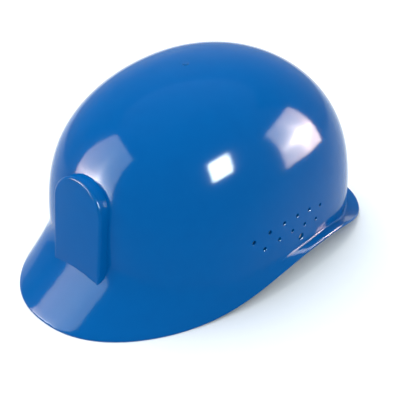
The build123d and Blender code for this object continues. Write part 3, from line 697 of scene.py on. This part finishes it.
@dataclass
class Shell:
    """The moulded cap with its badge plate, vents, holes, gate mark and sockets."""

    skin: Skin
    places: list[HangerPlace]
    badge: BadgeSizes = field(default_factory=BadgeSizes)
    holes: HoleSizes = field(default_factory=HoleSizes)
    socket: SocketSizes = field(default_factory=SocketSizes)

    def build(self) -> bpy.types.Object:
        """Build the shell and let it stand for the CAD node."""
        wall = self.skin.sizes.wall
        shell = object_from(self.skin.sheet(0.0), "bump_cap_shell")
        solid = shell.modifiers.new("wall", "SOLIDIFY")
        solid.thickness = wall * MM
        solid.offset = -1
        solid.use_even_offset = True
        bake(shell)
        added = [boolean(self.badge_block(), self.skin.core(wall / 2), "DIFFERENCE")]
        for place in self.places:
            added.append(boolean(self.socket_body(place), self.skin.core(wall / 2), "INTERSECT"))
        added.append(self.gate_mark())
        boolean(shell, joined(added, "added"), "UNION")
        cuts = [self.badge_pocket(), *self.drills()]
        cuts += [self.socket_slot(place) for place in self.places]
        boolean(shell, joined(cuts, "cuts"), "DIFFERENCE")
        smooth_by_angle(shell, 32)
        return dress(shell, SHELL_BLUE, "cap", "shell", "shell")

    def badge_matrix(self) -> Matrix:
        """Place of the plate's face: local X across, Y up, Z forwards."""
        lean = math.radians(self.badge.lean)
        forwards = Vector((0, -math.cos(lean), math.sin(lean)))
        across = Vector((1, 0, 0))
        matrix = Matrix((across, forwards.cross(across), forwards)).transposed().to_4x4()
        matrix.translation = self.skin.place(0, self.badge.face_y, self.badge.face_z)
        return matrix

    def badge_slab(self, foot: float, margin: float, front: float) -> bmesh.types.BMesh:
        """Arched slab from a distance behind the face back through the wall.

        Args:
            foot: Height of its lower end.
            margin: Distance that its outline is drawn in.
            front: Distance of its front face behind the plate's face.

        Returns:
            The slab on the plate's own axes.
        """
        size = self.badge
        half = size.width / 2 - margin
        spring = size.top - size.arch_rise - size.face_z
        rise = size.arch_rise - margin
        low = foot - size.face_z
        bm = bmesh.new()
        bmesh.ops.create_circle(bm, cap_ends=True, segments=size.outline_points, radius=1.0)
        for vert in bm.verts:
            x, y = vert.co.x, vert.co.y
            if y >= -1e-6:
                vert.co = Vector((half * x, spring + rise * max(y, 0.0), -front)) * MM
            else:
                widest = max(abs(x), abs(y))
                x, y = x / widest, y / widest
                vert.co = Vector((half * x, spring + (spring - low) * y, -front)) * MM
        face = bm.faces[:]
        grown = bmesh.ops.extrude_face_region(bm, geom=face)["geom"]
        back = [item for item in grown if isinstance(item, bmesh.types.BMVert)]
        bmesh.ops.translate(bm, vec=(0, 0, (front - size.depth) * MM), verts=back)
        bmesh.ops.recalc_face_normals(bm, faces=bm.faces)
        return bm

    def badge_block(self) -> bpy.types.Object:
        """The plate with its rounded front rim."""
        bm = self.badge_slab(self.badge.foot, 0.0, 0.0)
        low = (self.badge.foot - self.badge.face_z) * MM
        rim = [
            edge
            for edge in bm.edges
            if all(abs(v.co.z) < 0.01 * MM for v in edge.verts)
            and any(v.co.y > low + 0.01 * MM for v in edge.verts)
        ]
        bmesh.ops.bevel(
            bm,
            geom=rim,
            offset=self.badge.rounding * MM,
            segments=6,
            profile=0.5,
            affect="EDGES",
            material=-1,
        )
        bmesh.ops.transform(bm, matrix=self.badge_matrix(), verts=bm.verts)
        return object_from(bm, "badge")

    def badge_pocket(self) -> bpy.types.Object:
        """Hollow behind the plate."""
        wall = self.skin.sizes.wall
        bm = self.badge_slab(self.badge.pocket_foot, wall, wall)
        bmesh.ops.transform(bm, matrix=self.badge_matrix(), verts=bm.verts)
        return object_from(bm, "pocket")

    def gate_mark(self) -> bpy.types.Object:
        """Small raised disc near the dome's top."""
        size, skin = self.holes, self.skin.sizes
        level = (abs(size.gate_y) / skin.front_reach) ** skin.front_fall[1]
        z = skin.height * (1 - level) ** (1 / skin.front_fall[0])
        depth = skin.wall / 2 + size.gate_height
        bm = bmesh.new()
        bmesh.ops.create_cone(
            bm,
            cap_ends=True,
            segments=40,
            radius1=size.gate_radius * MM,
            radius2=size.gate_radius * MM,
            depth=depth * MM,
        )
        rim = [e for e in bm.edges if all(v.co.z > 0 for v in e.verts)]
        bmesh.ops.bevel(
            bm,
            geom=rim,
            offset=size.gate_rounding * MM,
            segments=3,
            profile=0.5,
            affect="EDGES",
            material=-1,
        )
        middle = self.skin.place(0, size.gate_y, z + (size.gate_height - skin.wall / 2) / 2)
        bmesh.ops.translate(bm, vec=middle, verts=bm.verts)
        return object_from(bm, "gate")

    def socket_slots(self, place: HangerPlace) -> tuple[float, float]:
        """Outward distances of a socket's slot."""
        size = self.socket
        outer = place.tongue_reach(size.bottom + size.height / 2) + size.clearance
        return outer - size.tongue - 2 * size.clearance, outer

    def socket_body(self, place: HangerPlace) -> bpy.types.Object:
        """Outside of one socket, reaching out past the wall."""
        size = self.socket
        slot = self.socket_slots(place)
        reach = (slot[0] - size.wall, slot[1] + size.reach)
        width = size.width + 2 * (size.clearance + size.wall)
        return place.block(reach, width, size.bottom, size.bottom + size.height, size.rounding)

    def socket_slot(self, place: HangerPlace) -> bpy.types.Object:
        """Slot through one socket for the hanger's tongue."""
        size = self.socket
        width = size.width + 2 * size.clearance
        top = size.bottom + size.height
        return place.block(self.socket_slots(place), width, size.bottom - 1, top + 1, 0.0)

    def drill(self, y: float, z: float, radius: float) -> bmesh.types.BMesh:
        """Countersunk drill square to the left skin."""
        size, step = self.holes, 0.5
        skin = self.skin
        along = skin.side_point(y + step, z) - skin.side_point(y - step, z)
        up = skin.side_point(y, z + step) - skin.side_point(y, z - step)
        out = along.cross(up).normalized()
        along.normalize()
        matrix = Matrix((along, out.cross(along), out)).transposed().to_4x4()
        matrix.translation = skin.place(*skin.side_point(y, z))
        sink = size.countersink
        profile = [
            (0.0, -size.drill_depth),
            (radius, -size.drill_depth),
            (radius, -sink),
            (radius + 2 * sink, sink),
            (0.0, sink),
        ]
        bm = bmesh.new()
        verts = [bm.verts.new(Vector((x, 0, z)) * MM) for x, z in profile]
        edges = [bm.edges.new(pair) for pair in zip(verts, verts[1:])]
        bmesh.ops.spin(
            bm,
            geom=verts + edges,
            axis=(0, 0, 1),
            cent=(0, 0, 0),
            angle=2 * math.pi,
            steps=32,
            use_merge=True,
        )
        bmesh.ops.remove_doubles(bm, verts=bm.verts, dist=0.001 * MM)
        bmesh.ops.recalc_face_normals(bm, faces=bm.faces)
        bmesh.ops.transform(bm, matrix=matrix, verts=bm.verts)
        return bm

    def drills(self) -> list[bpy.types.Object]:
        """Drills for all vents and strap holes, on both sides."""
        size = self.holes
        made = [self.drill(size.strap_y, size.strap_z, size.strap_radius)]
        for count, centre_y, top_z in size.vent_rows:
            for i in range(count):
                y = centre_y + (i - (count - 1) / 2) * size.vent_pitch
                z = top_z - (y - size.row_centre_y) ** 2 / (2 * size.row_radius)
                made.append(self.drill(y, z, size.vent_radius))
        drills = []
        for bm in made:
            other = bm.copy()
            bmesh.ops.scale(other, vec=(-1, 1, 1), verts=other.verts)
            bmesh.ops.reverse_faces(other, faces=other.faces)
            drills += [object_from(bm, "drill"), object_from(other, "drill")]
        return drills


# ---------------------------------------------------------------- harness
@dataclass(frozen=True)
class Moulding:
    """One harness part that keeps its CAD shape and gains rounded edges.

    Args:
        node: CAD node that it stands for.
        body: Body that it rides on.
        slot: Material slot of the record.
        finish: Its finish.
        rounding: Width of the rounded edges, in millimetres.
    """

    node: str
    body: str
    slot: str
    finish: Finish
    rounding: float

    def build(self) -> bpy.types.Object:
        """Build the part and let it stand for its CAD node."""
        obj = welded(self.node, f"{self.node}_moulding")
        add_bevel(obj, self.rounding, 2, 35)
        bake(obj)
        smooth_by_angle(obj, 40)
        return dress(obj, self.finish, self.body, self.slot, self.node)


MOULDINGS = (
    Moulding("headband", "cap", "harness", HARNESS_WHITE, 0.35),
    Moulding("front_left_hanger", "cap", "harness", HARNESS_WHITE, 0.4),
    Moulding("front_right_hanger", "cap", "harness", HARNESS_WHITE, 0.4),
    Moulding("rear_left_hanger", "cap", "harness", HARNESS_WHITE, 0.4),
    Moulding("rear_right_hanger", "cap", "harness", HARNESS_WHITE, 0.4),
    Moulding("left_rack_strap", "left_strap", "harness", HARNESS_WHITE, 0.2),
    Moulding("right_rack_strap", "right_strap", "harness", HARNESS_WHITE, 0.2),
    Moulding("ratchet_housing", "ratchet", "ratchet", RATCHET_BLACK, 0.3),
    Moulding("ratchet_cover", "ratchet", "ratchet", RATCHET_BLACK, 0.3),
    Moulding("ratchet_knob", "knob", "knob", KNOB_BLACK, 0.25),
    Moulding("drive_pinion", "knob", "acetal", ACETAL, 0.12),
    Moulding("pawl_disc", "knob", "acetal", ACETAL, 0.12),
    Moulding("cover_screws", "ratchet", "screws", SCREW_ZINC, 0.12),
    Moulding("knob_screw", "knob", "screws", SCREW_ZINC, 0.12),
)


@dataclass(frozen=True)
class StitchSizes:
    """Sizes of a line of stitches, in millimetres."""

    length: float = 2.4
    pitch: float = 3.4
    radius: float = 0.32
    lift: float = 0.10


class Stitches:
    """Small threads laid on a surface, gathered into one piece.

    Args:
        name: Name of the piece.
        sizes: Size and spacing of the stitches.
    """

    def __init__(self, name: str, sizes: StitchSizes) -> None:
        self.name = name
        self.sizes = sizes
        self.bm = bmesh.new()

    def add(self, point: Vector, along: Vector, out: Vector) -> None:
        """Lay one stitch at a point of the surface, in metres."""
        size = self.sizes
        grown = bmesh.ops.create_uvsphere(self.bm, u_segments=8, v_segments=6, radius=1.0)["verts"]
        side = out.cross(along).normalized()
        along = side.cross(out).normalized()
        axes = Matrix((side, out.normalized(), along)).transposed().to_4x4()
        axes.translation = point + out.normalized() * size.lift * MM
        scale = Vector((size.radius, size.radius * 0.8, size.length / 2)) * MM
        bmesh.ops.scale(self.bm, vec=scale, verts=grown)
        bmesh.ops.transform(self.bm, matrix=axes, verts=grown)

    def line(self, points: list[Vector], normals: list[Vector]) -> None:
        """Lay stitches at an even spacing along a line on a surface."""
        run = 0.0
        for i in range(1, len(points)):
            step = points[i] - points[i - 1]
            run += step.length
            if run >= self.sizes.pitch * MM:
                run = 0.0
                self.add(points[i], step, normals[i])

    def build(self, body: str, slot: str) -> bpy.types.Object:
        """Finish the piece and let it ride on a body."""
        obj = object_from(self.bm, self.name)
        obj.data.shade_smooth()
        return dress(obj, THREAD_GREY, body, slot)


@dataclass(frozen=True)
class PadSizes:
    """How one foam pad is swollen from its CAD shape.

    Args:
        node: CAD node that it stands for.
        body: Body that it rides on.
        slot: Material slot of the record.
        inset: Distance that the pad starts inside its CAD shape, in millimetres.
        voxel: Cell size of the remeshed pad, in millimetres.
        channel_pitch: Distance between sewn channels, in millimetres.
        channel_width: Width of a sewn channel, in millimetres.
        fill: Share of its fullest shape; not used.
    """

    node: str
    body: str
    slot: str
    inset: float = 0.9
    voxel: float = 1.3
    channel_pitch: float = 26.0
    channel_width: float = 1.9
    fill: float = 0.6


class Pad:
    """A fabric-covered foam pad, swollen by a cloth simulation.

    Args:
        sizes: How the pad is swollen.
        centre: Point that its sewn channels fan out from, in metres.
        ring: Whether the channels are rings about the centre instead.
    """

    pressure = 1500.0
    mass = 0.1
    stretch = 4.0
    shear = 2.0
    bending = 0.02
    frames = 20
    smooth_before = 5
    smooth_after = 2

    def __init__(self, sizes: PadSizes, centre: Vector, ring: bool = False) -> None:
        self.sizes = sizes
        self.centre = centre
        self.ring = ring

    def channel_distance(self, point: Vector) -> float:
        """Distance from a point to the nearest sewn channel, in millimetres."""
        flat = Vector((point.x - self.centre.x, point.y - self.centre.y)) / MM
        radius = max(flat.length, 1e-6)
        run = radius if self.ring else radius * math.atan2(flat.x, abs(flat.y) + 1e-9)
        pitch = self.sizes.channel_pitch
        return abs((run / pitch) % 1.0 - 0.5) * pitch

    def start(self) -> bpy.types.Object:
        """The pad before it swells: its CAD shape drawn in and remeshed."""
        obj = welded(self.sizes.node, f"{self.sizes.node}_cover")
        remesh = obj.modifiers.new("remesh", "REMESH")
        remesh.mode = "VOXEL"
        remesh.voxel_size = self.sizes.voxel * MM
        bake(obj)
        self.smooth(obj, self.smooth_before)
        normals = [vert.normal.copy() for vert in obj.data.vertices]
        for vert, normal in zip(obj.data.vertices, normals):
            vert.co -= normal * self.sizes.inset * MM
        return obj

    @staticmethod
    def smooth(obj: bpy.types.Object, times: int) -> None:
        """Even out a mesh by moving each point towards its neighbours."""
        bm = bmesh.new()
        bm.from_mesh(obj.data)
        for _ in range(times):
            bmesh.ops.smooth_vert(
                bm, verts=bm.verts, factor=0.5, use_axis_x=True, use_axis_y=True, use_axis_z=True
            )
        bm.to_mesh(obj.data)
        bm.free()

    def swell(self, obj: bpy.types.Object) -> None:
        """Blow the pad up between its sewn channels, no further than its CAD shape."""
        rest = [vert.co.copy() for vert in obj.data.vertices]
        group = obj.vertex_groups.new(name="sewn")
        for i, co in enumerate(rest):
            near = self.channel_distance(co) / self.sizes.channel_width
            group.add([i], max(0.0, 1.0 - near * near), "REPLACE")
        cloth = obj.modifiers.new("cloth", "CLOTH")
        settings = cloth.settings
        settings.mass = self.mass
        settings.tension_stiffness = settings.compression_stiffness = self.stretch
        settings.shear_stiffness = self.shear
        settings.bending_stiffness = self.bending
        settings.use_pressure = True
        settings.uniform_pressure_force = self.pressure
        settings.vertex_group_mass = "sewn"
        settings.effector_weights.gravity = 0
        cloth.collision_settings.use_collision = False
        scene = bpy.context.scene
        for number in range(1, self.frames + 1):
            scene.frame_set(number)
        bake(obj)
        scene.frame_set(1)
        cap = self.sizes.inset * MM
        for vert, start in zip(obj.data.vertices, rest):
            move = vert.co - start
            if move.length > cap:
                vert.co = start + move * (cap / move.length)
        self.smooth(obj, self.smooth_after)

    def build(self) -> bpy.types.Object:
        """Build the pad and let it stand for its CAD node."""
        obj = self.start()
        self.swell(obj)
        finer = obj.modifiers.new("finer", "SUBSURF")
        finer.levels = finer.render_levels = 1
        bake(obj)
        obj.data.shade_smooth()
        dress(obj, PAD_FABRIC, self.sizes.body, self.sizes.slot, self.sizes.node)
        return obj


class PadSeams:
    """Rows of stitches along a pad's upper and lower edges, on the side that meets the head.

    Args:
        pad: The finished pad.
        centre: Point that the rows are seen from, in metres.
        start: First plan angle from +X, in degrees.
        end: Last plan angle, in degrees.
        heights: Height of each row, in millimetres.
    """

    samples = 1200

    def __init__(
        self,
        pad: bpy.types.Object,
        centre: Vector,
        start: float,
        end: float,
        heights: tuple[float, ...],
    ) -> None:
        self.pad = pad
        self.centre = centre
        self.start = start
        self.end = end
        self.heights = heights

    def build(self, body: str, slot: str) -> bpy.types.Object:
        """Lay the rows of stitches."""
        stitches = Stitches(f"{self.pad.name}_stitches", StitchSizes())
        for height in self.heights:
            eye = Vector((self.centre.x, self.centre.y, height * MM))
            points, normals = [], []
            for i in range(self.samples + 1):
                turn = math.radians(self.start + (self.end - self.start) * i / self.samples)
                way = Vector((math.cos(turn), math.sin(turn), 0))
                hit, point, normal, _ = self.pad.ray_cast(eye, way)
                if hit:
                    points.append(point)
                    normals.append(normal)
            stitches.line(points, normals)
        return stitches.build(body, slot)


class CrownStrap:
    """Woven strap over the head with a bound edge and box stitching at each hanger.

    Args:
        node: CAD node that it stands for.
        places: The two hangers that it joins.
    """

    stitch_rows = (40.6, 46.6)
    stitch_half = 5.6
    edge_rounding = 0.35
    steps = 40
    reach = 40.0

    def __init__(self, node: str, places: list[HangerPlace]) -> None:
        self.node = node
        self.places = places

    def build(self) -> bpy.types.Object:
        """Build the webbing and its stitches."""
        obj = welded(self.node, f"{self.node}_webbing")
        add_bevel(obj, self.edge_rounding, 2, 40)
        bake(obj)
        smooth_by_angle(obj, 50)
        dress(obj, WEBBING_BLACK, "cap", "webbing", self.node)
        self.stitches(obj)
        return obj

    def stitches(self, strap: bpy.types.Object) -> None:
        """Lay a box of stitches on both faces of each leg of the strap."""
        stitches = Stitches(f"{self.node}_stitches", StitchSizes(length=2.0, pitch=2.6))
        low, high = self.stitch_rows
        half = self.stitch_half
        foot, top = [(-half, low), (half, low)], [(half, high), (-half, high)]
        corners = [*foot, *top, foot[0], top[0]]
        for place in self.places:
            out = place.out
            across = Vector((0, 0, 1)).cross(out)
            for way in (1, -1):
                points, normals = [], []
                for (a, b), (c, d) in zip(corners, corners[1:]):
                    for step in range(self.steps):
                        share = step / self.steps
                        side, height = a + (c - a) * share, b + (d - b) * share
                        eye = place.origin + across * side * MM + Vector((0, 0, height * MM))
                        reach = 0.0 if way > 0 else self.reach * MM
                        hit, point, normal, _ = strap.ray_cast(eye + out * reach, out * way)
                        if hit:
                            points.append(point)
                            normals.append(normal)
                stitches.line(points, normals)
        stitches.build("cap", "webbing")


@dataclass
class Harness:
    """Everything that hangs inside the shell."""

    skin: Skin
    places: dict[str, HangerPlace]
    band: BandSizes = field(default_factory=BandSizes)

    def build(self) -> list[bpy.types.Object]:
        """Build every part of the harness."""
        made = [moulding.build() for moulding in MOULDINGS]
        ends = {
            "crown_strap_lower": ("front_left_hanger", "rear_right_hanger"),
            "crown_strap_upper": ("front_right_hanger", "rear_left_hanger"),
        }
        for node, names in ends.items():
            made.append(CrownStrap(node, [self.places[name] for name in names]).build())
        centre = self.skin.place(0, self.band.centre_y, 0)
        brow = Pad(PadSizes("brow_pad", "cap", "pad_cover"), centre).build()
        nape = Pad(PadSizes("nape_pad", "ratchet", "pad_cover", channel_pitch=18.0), centre).build()
        low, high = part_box("crown_pad")
        middle = (low + high) / 2
        sizes = PadSizes("crown_pad", "cap", "foam", channel_pitch=22.0)
        crown = Pad(sizes, middle, ring=True).build()
        PadSeams(brow, centre, -160, -20, (13.0, 32.8)).build("cap", "pad_cover")
        PadSeams(nape, centre, 66, 114, (12.2, 33.8)).build("ratchet", "pad_cover")
        return [*made, brow, nape, crown]


# ---------------------------------------------------------------- studio
@dataclass(frozen=True)
class Softbox:
    """A rectangular glowing panel seen from the cap in one direction.

    Args:
        name: Name of the panel.
        azimuth: Direction from the brim's side towards the wearer's left, in degrees.
        low: Elevation of its lower edge, in degrees.
        high: Elevation of its upper edge, in degrees.
        width: Width, in degrees.
        glow: Strength away from its bright middle.
        peak: Extra strength at its bright middle.
        middle: Elevation of its bright middle, in degrees.
        distance: Distance from the cap, in metres.
        colour: Linear colour of the glow.
        arm_fall: How fast the bright middle fades between its cross arms.
        round_fall: How fast it fades all round.
    """

    name: str
    azimuth: float
    low: float
    high: float
    width: float
    glow: float
    peak: float
    middle: float
    distance: float = 1.3
    colour: tuple[float, float, float] = (1.0, 0.69, 0.55)
    arm_fall: float = 30.0
    round_fall: float = 6.0


@dataclass
class Studio:
    """Pale floor, backdrop, soft lights and camera."""

    target: Vector = field(default_factory=lambda: Vector((0, 0.0177, 0.0557)))
    azimuth: float = 42.0
    elevation: float = 29.0
    distance: float = 0.525
    lens: float = 61.5
    aim_right: float = 0.0050
    aim_up: float = 0.0311
    floor_size: float = 6.0
    wall_radius: float = 1.7
    wall_height: float = 2.0
    wall_start: float = 152.0
    wall_end: float = 297.0
    wall_level: float = 0.45
    key_azimuth: float = -100.0
    key_elevation: float = 62.0
    key_size: float = 1.5
    key_power: float = 19.0
    key_distance: float = 1.4
    world_colour: tuple[float, float, float] = (0.82, 0.92, 0.99)
    world_strength: float = 1.25
    boxes: tuple[Softbox, ...] = (
        Softbox("left_box", -34, -14, 48, 34, 30.0, 240.0, 8),
        Softbox("right_box", 140, -10, 32, 24, 42.0, 380.0, 11),
        Softbox("window", 88, 24, 42, 15, 520.0, 0.0, 33),
    )

    @staticmethod
    def direction(azimuth: float, elevation: float) -> Vector:
        """Unit vector for an azimuth from -Y towards +X and an elevation, in degrees."""
        around, up = math.radians(azimuth), math.radians(elevation)
        flat = math.cos(up)
        return Vector((math.sin(around) * flat, -math.cos(around) * flat, math.sin(up)))

    def build(self) -> None:
        """Make the stage, the lights and the camera."""
        scene = bpy.context.scene
        scene.view_settings.view_transform = "Standard"
        world = bpy.data.worlds.new("studio")
        world.use_nodes = True
        background = world.node_tree.nodes["Background"]
        background.inputs["Color"].default_value = (*self.world_colour, 1)
        background.inputs["Strength"].default_value = self.world_strength
        scene.world = world
        self.floor()
        self.backdrop()
        self.key_light()
        for box in self.boxes:
            self.softbox(box)
        self.camera()

    @staticmethod
    def pale(name: str = "floor_white", level: float = 0.86) -> bpy.types.Material:
        """Pale matt stage material."""
        dark, light = (level - 0.01,) * 3, (level,) * 3
        return Finish(name, Surface.SATIN, dark, light, (0.9, 0.95), 9.0, 0.0, 0.0).material()

    @staticmethod
    def one_sided(material: bpy.types.Material) -> bpy.types.Material:
        """Let the underside of a stage surface be seen through."""
        tree = material.node_tree
        output = tree.nodes["Material Output"]
        shader = tree.nodes["Principled BSDF"]
        clear = tree.nodes.new("ShaderNodeBsdfTransparent")
        side = tree.nodes.new("ShaderNodeNewGeometry")
        mix = tree.nodes.new("ShaderNodeMixShader")
        tree.links.new(side.outputs["Backfacing"], mix.inputs[0])
        tree.links.new(shader.outputs[0], mix.inputs[1])
        tree.links.new(clear.outputs[0], mix.inputs[2])
        tree.links.new(mix.outputs[0], output.inputs["Surface"])
        return material

    def floor(self) -> None:
        """Plain pale floor under the cap."""
        bm = bmesh.new()
        bmesh.ops.create_grid(bm, x_segments=8, y_segments=8, size=self.floor_size / 2)
        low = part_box("shell")[0].z
        bmesh.ops.translate(bm, vec=(0, 0, low - 0.05 * MM), verts=bm.verts)
        floor = object_from(bm, "floor")
        floor.data.materials.append(self.one_sided(self.pale()))

    def backdrop(self) -> None:
        """Pale wall behind the cap, curved around it."""
        bm = bmesh.new()
        start = self.direction(self.wall_start, 0) * self.wall_radius
        foot = bm.verts.new(start)
        top = bm.verts.new(start + Vector((0, 0, self.wall_height)))
        edge = bm.edges.new((foot, top))
        bmesh.ops.spin(
            bm,
            geom=[foot, top, edge],
            axis=(0, 0, 1),
            cent=(0, 0, 0),
            angle=math.radians(self.wall_end - self.wall_start),
            steps=32,
        )
        wall = object_from(bm, "backdrop")
        wall.data.materials.append(self.pale("wall_grey", self.wall_level))

    def key_light(self) -> None:
        """Wide soft key light that the gloss doesn't mirror."""
        data = bpy.data.lights.new("key", "AREA")
        data.shape = "SQUARE"
        data.size = self.key_size
        data.energy = self.key_power
        light = bpy.data.objects.new("key", data)
        out = self.direction(self.key_azimuth, self.key_elevation)
        light.location = self.target + out * self.key_distance
        light.rotation_euler = out.to_track_quat("Z", "Y").to_euler()
        light.visible_glossy = False
        bpy.context.scene.collection.objects.link(light)

    def softbox(self, box: Softbox) -> None:
        """One glowing panel that faces the cap."""
        bm = bmesh.new()
        bmesh.ops.create_grid(bm, x_segments=1, y_segments=1, size=0.5)
        layer = bm.loops.layers.uv.new("panel")
        half = math.tan(math.radians(box.width / 2))
        tilt = math.radians((box.low + box.high) / 2)
        low = math.tan(math.radians(box.low) - tilt)
        high = math.tan(math.radians(box.high) - tilt)
        middle = math.tan(math.radians(box.middle) - tilt)
        for vert in bm.verts:
            side = half if vert.co.x > 0 else -half
            vert.co = Vector((side, high if vert.co.y > 0 else low, 0))
        for face in bm.faces:
            for loop in face.loops:
                loop[layer].uv = (loop.vert.co.x / half, (loop.vert.co.y - middle) / half)
        out = self.direction(box.azimuth, math.degrees(tilt))
        matrix = out.to_track_quat("Z", "Y").to_matrix().to_4x4()
        matrix = Matrix.Translation(self.target + out * box.distance) @ matrix
        bmesh.ops.scale(bm, vec=Vector((1, 1, 1)) * box.distance, verts=bm.verts)
        bmesh.ops.transform(bm, matrix=matrix, verts=bm.verts)
        panel = object_from(bm, box.name)
        panel.data.materials.append(self.panel_material(box))
        panel.visible_diffuse = False
        panel.visible_shadow = False
        panel.visible_camera = False

    @staticmethod
    def panel_material(box: Softbox) -> bpy.types.Material:
        """Glow that is strongest at the panel's middle and along its two cross arms."""
        material = bpy.data.materials.new(box.name)
        material.use_nodes = True
        tree = material.node_tree
        tree.nodes.remove(tree.nodes["Principled BSDF"])
        output = tree.nodes["Material Output"]
        emission = tree.nodes.new("ShaderNodeEmission")
        emission.inputs["Color"].default_value = (*box.colour, 1)
        tree.links.new(emission.outputs[0], output.inputs["Surface"])

        Operand = bpy.types.NodeSocket | float | None

        def maths(
            operation: str, first: Operand, second: Operand = None, third: Operand = None
        ) -> bpy.types.NodeSocket:
            """Output of one Math node fed with sockets or plain values."""
            node = tree.nodes.new("ShaderNodeMath")
            node.operation = operation
            for slot, value in zip(node.inputs, (first, second, third)):
                if isinstance(value, bpy.types.NodeSocket):
                    tree.links.new(value, slot)
                elif value is not None:
                    slot.default_value = value
            return node.outputs[0]

        uv = tree.nodes.new("ShaderNodeUVMap")
        uv.uv_map = "panel"
        parts = tree.nodes.new("ShaderNodeSeparateXYZ")
        tree.links.new(uv.outputs[0], parts.inputs[0])
        u, v = parts.outputs[0], parts.outputs[1]
        arms = maths("ABSOLUTE", maths("MULTIPLY", u, v))
        spread = maths("ADD", maths("MULTIPLY", u, u), maths("MULTIPLY", v, v))
        fall = maths("MULTIPLY_ADD", arms, box.arm_fall, 1.0)
        fall = maths("MULTIPLY_ADD", spread, box.round_fall, fall)
        star = maths("DIVIDE", box.peak, fall)
        tree.links.new(maths("ADD", star, box.glow), emission.inputs["Strength"])
        return material

    def camera(self) -> None:
        """Camera over the cap's left front."""
        data = bpy.data.cameras.new("camera")
        data.lens = self.lens
        data.sensor_width = 36.0
        data.clip_start = 0.01
        camera = bpy.data.objects.new("camera", data)
        back = self.direction(self.azimuth, self.elevation)
        right = Vector((0, 0, 1)).cross(back).normalized()
        up = back.cross(right)
        camera.location = self.target + back * self.distance
        aim = self.target - right * self.aim_right - up * self.aim_up
        camera.rotation_euler = (camera.location - aim).to_track_quat("Z", "Y").to_euler()
        bpy.context.scene.collection.objects.link(camera)
        bpy.context.scene.camera = camera


# ---------------------------------------------------------------- whole scene
def main() -> None:
    """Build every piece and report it."""
    logging.basicConfig(level=logging.INFO, format="%(name)s: %(message)s")
    sizes = SkinSizes()
    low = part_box("shell")[0].y / MM
    shift = low + sizes.edge_front_reach - sizes.edge_centre_y
    skin = Skin(sizes, shift)
    places = {node: HangerPlace(node, BandSizes(), skin) for node in HANGER_NODES}
    shell = Shell(skin, list(places.values())).build()
    LOG.info("%s: %d faces", shell.name, len(shell.data.polygons))
    for piece in Harness(skin, places).build():
        LOG.info("%s: %d faces", piece.name, len(piece.data.polygons))
    Studio().build()


if __name__ == "__main__":
    main()
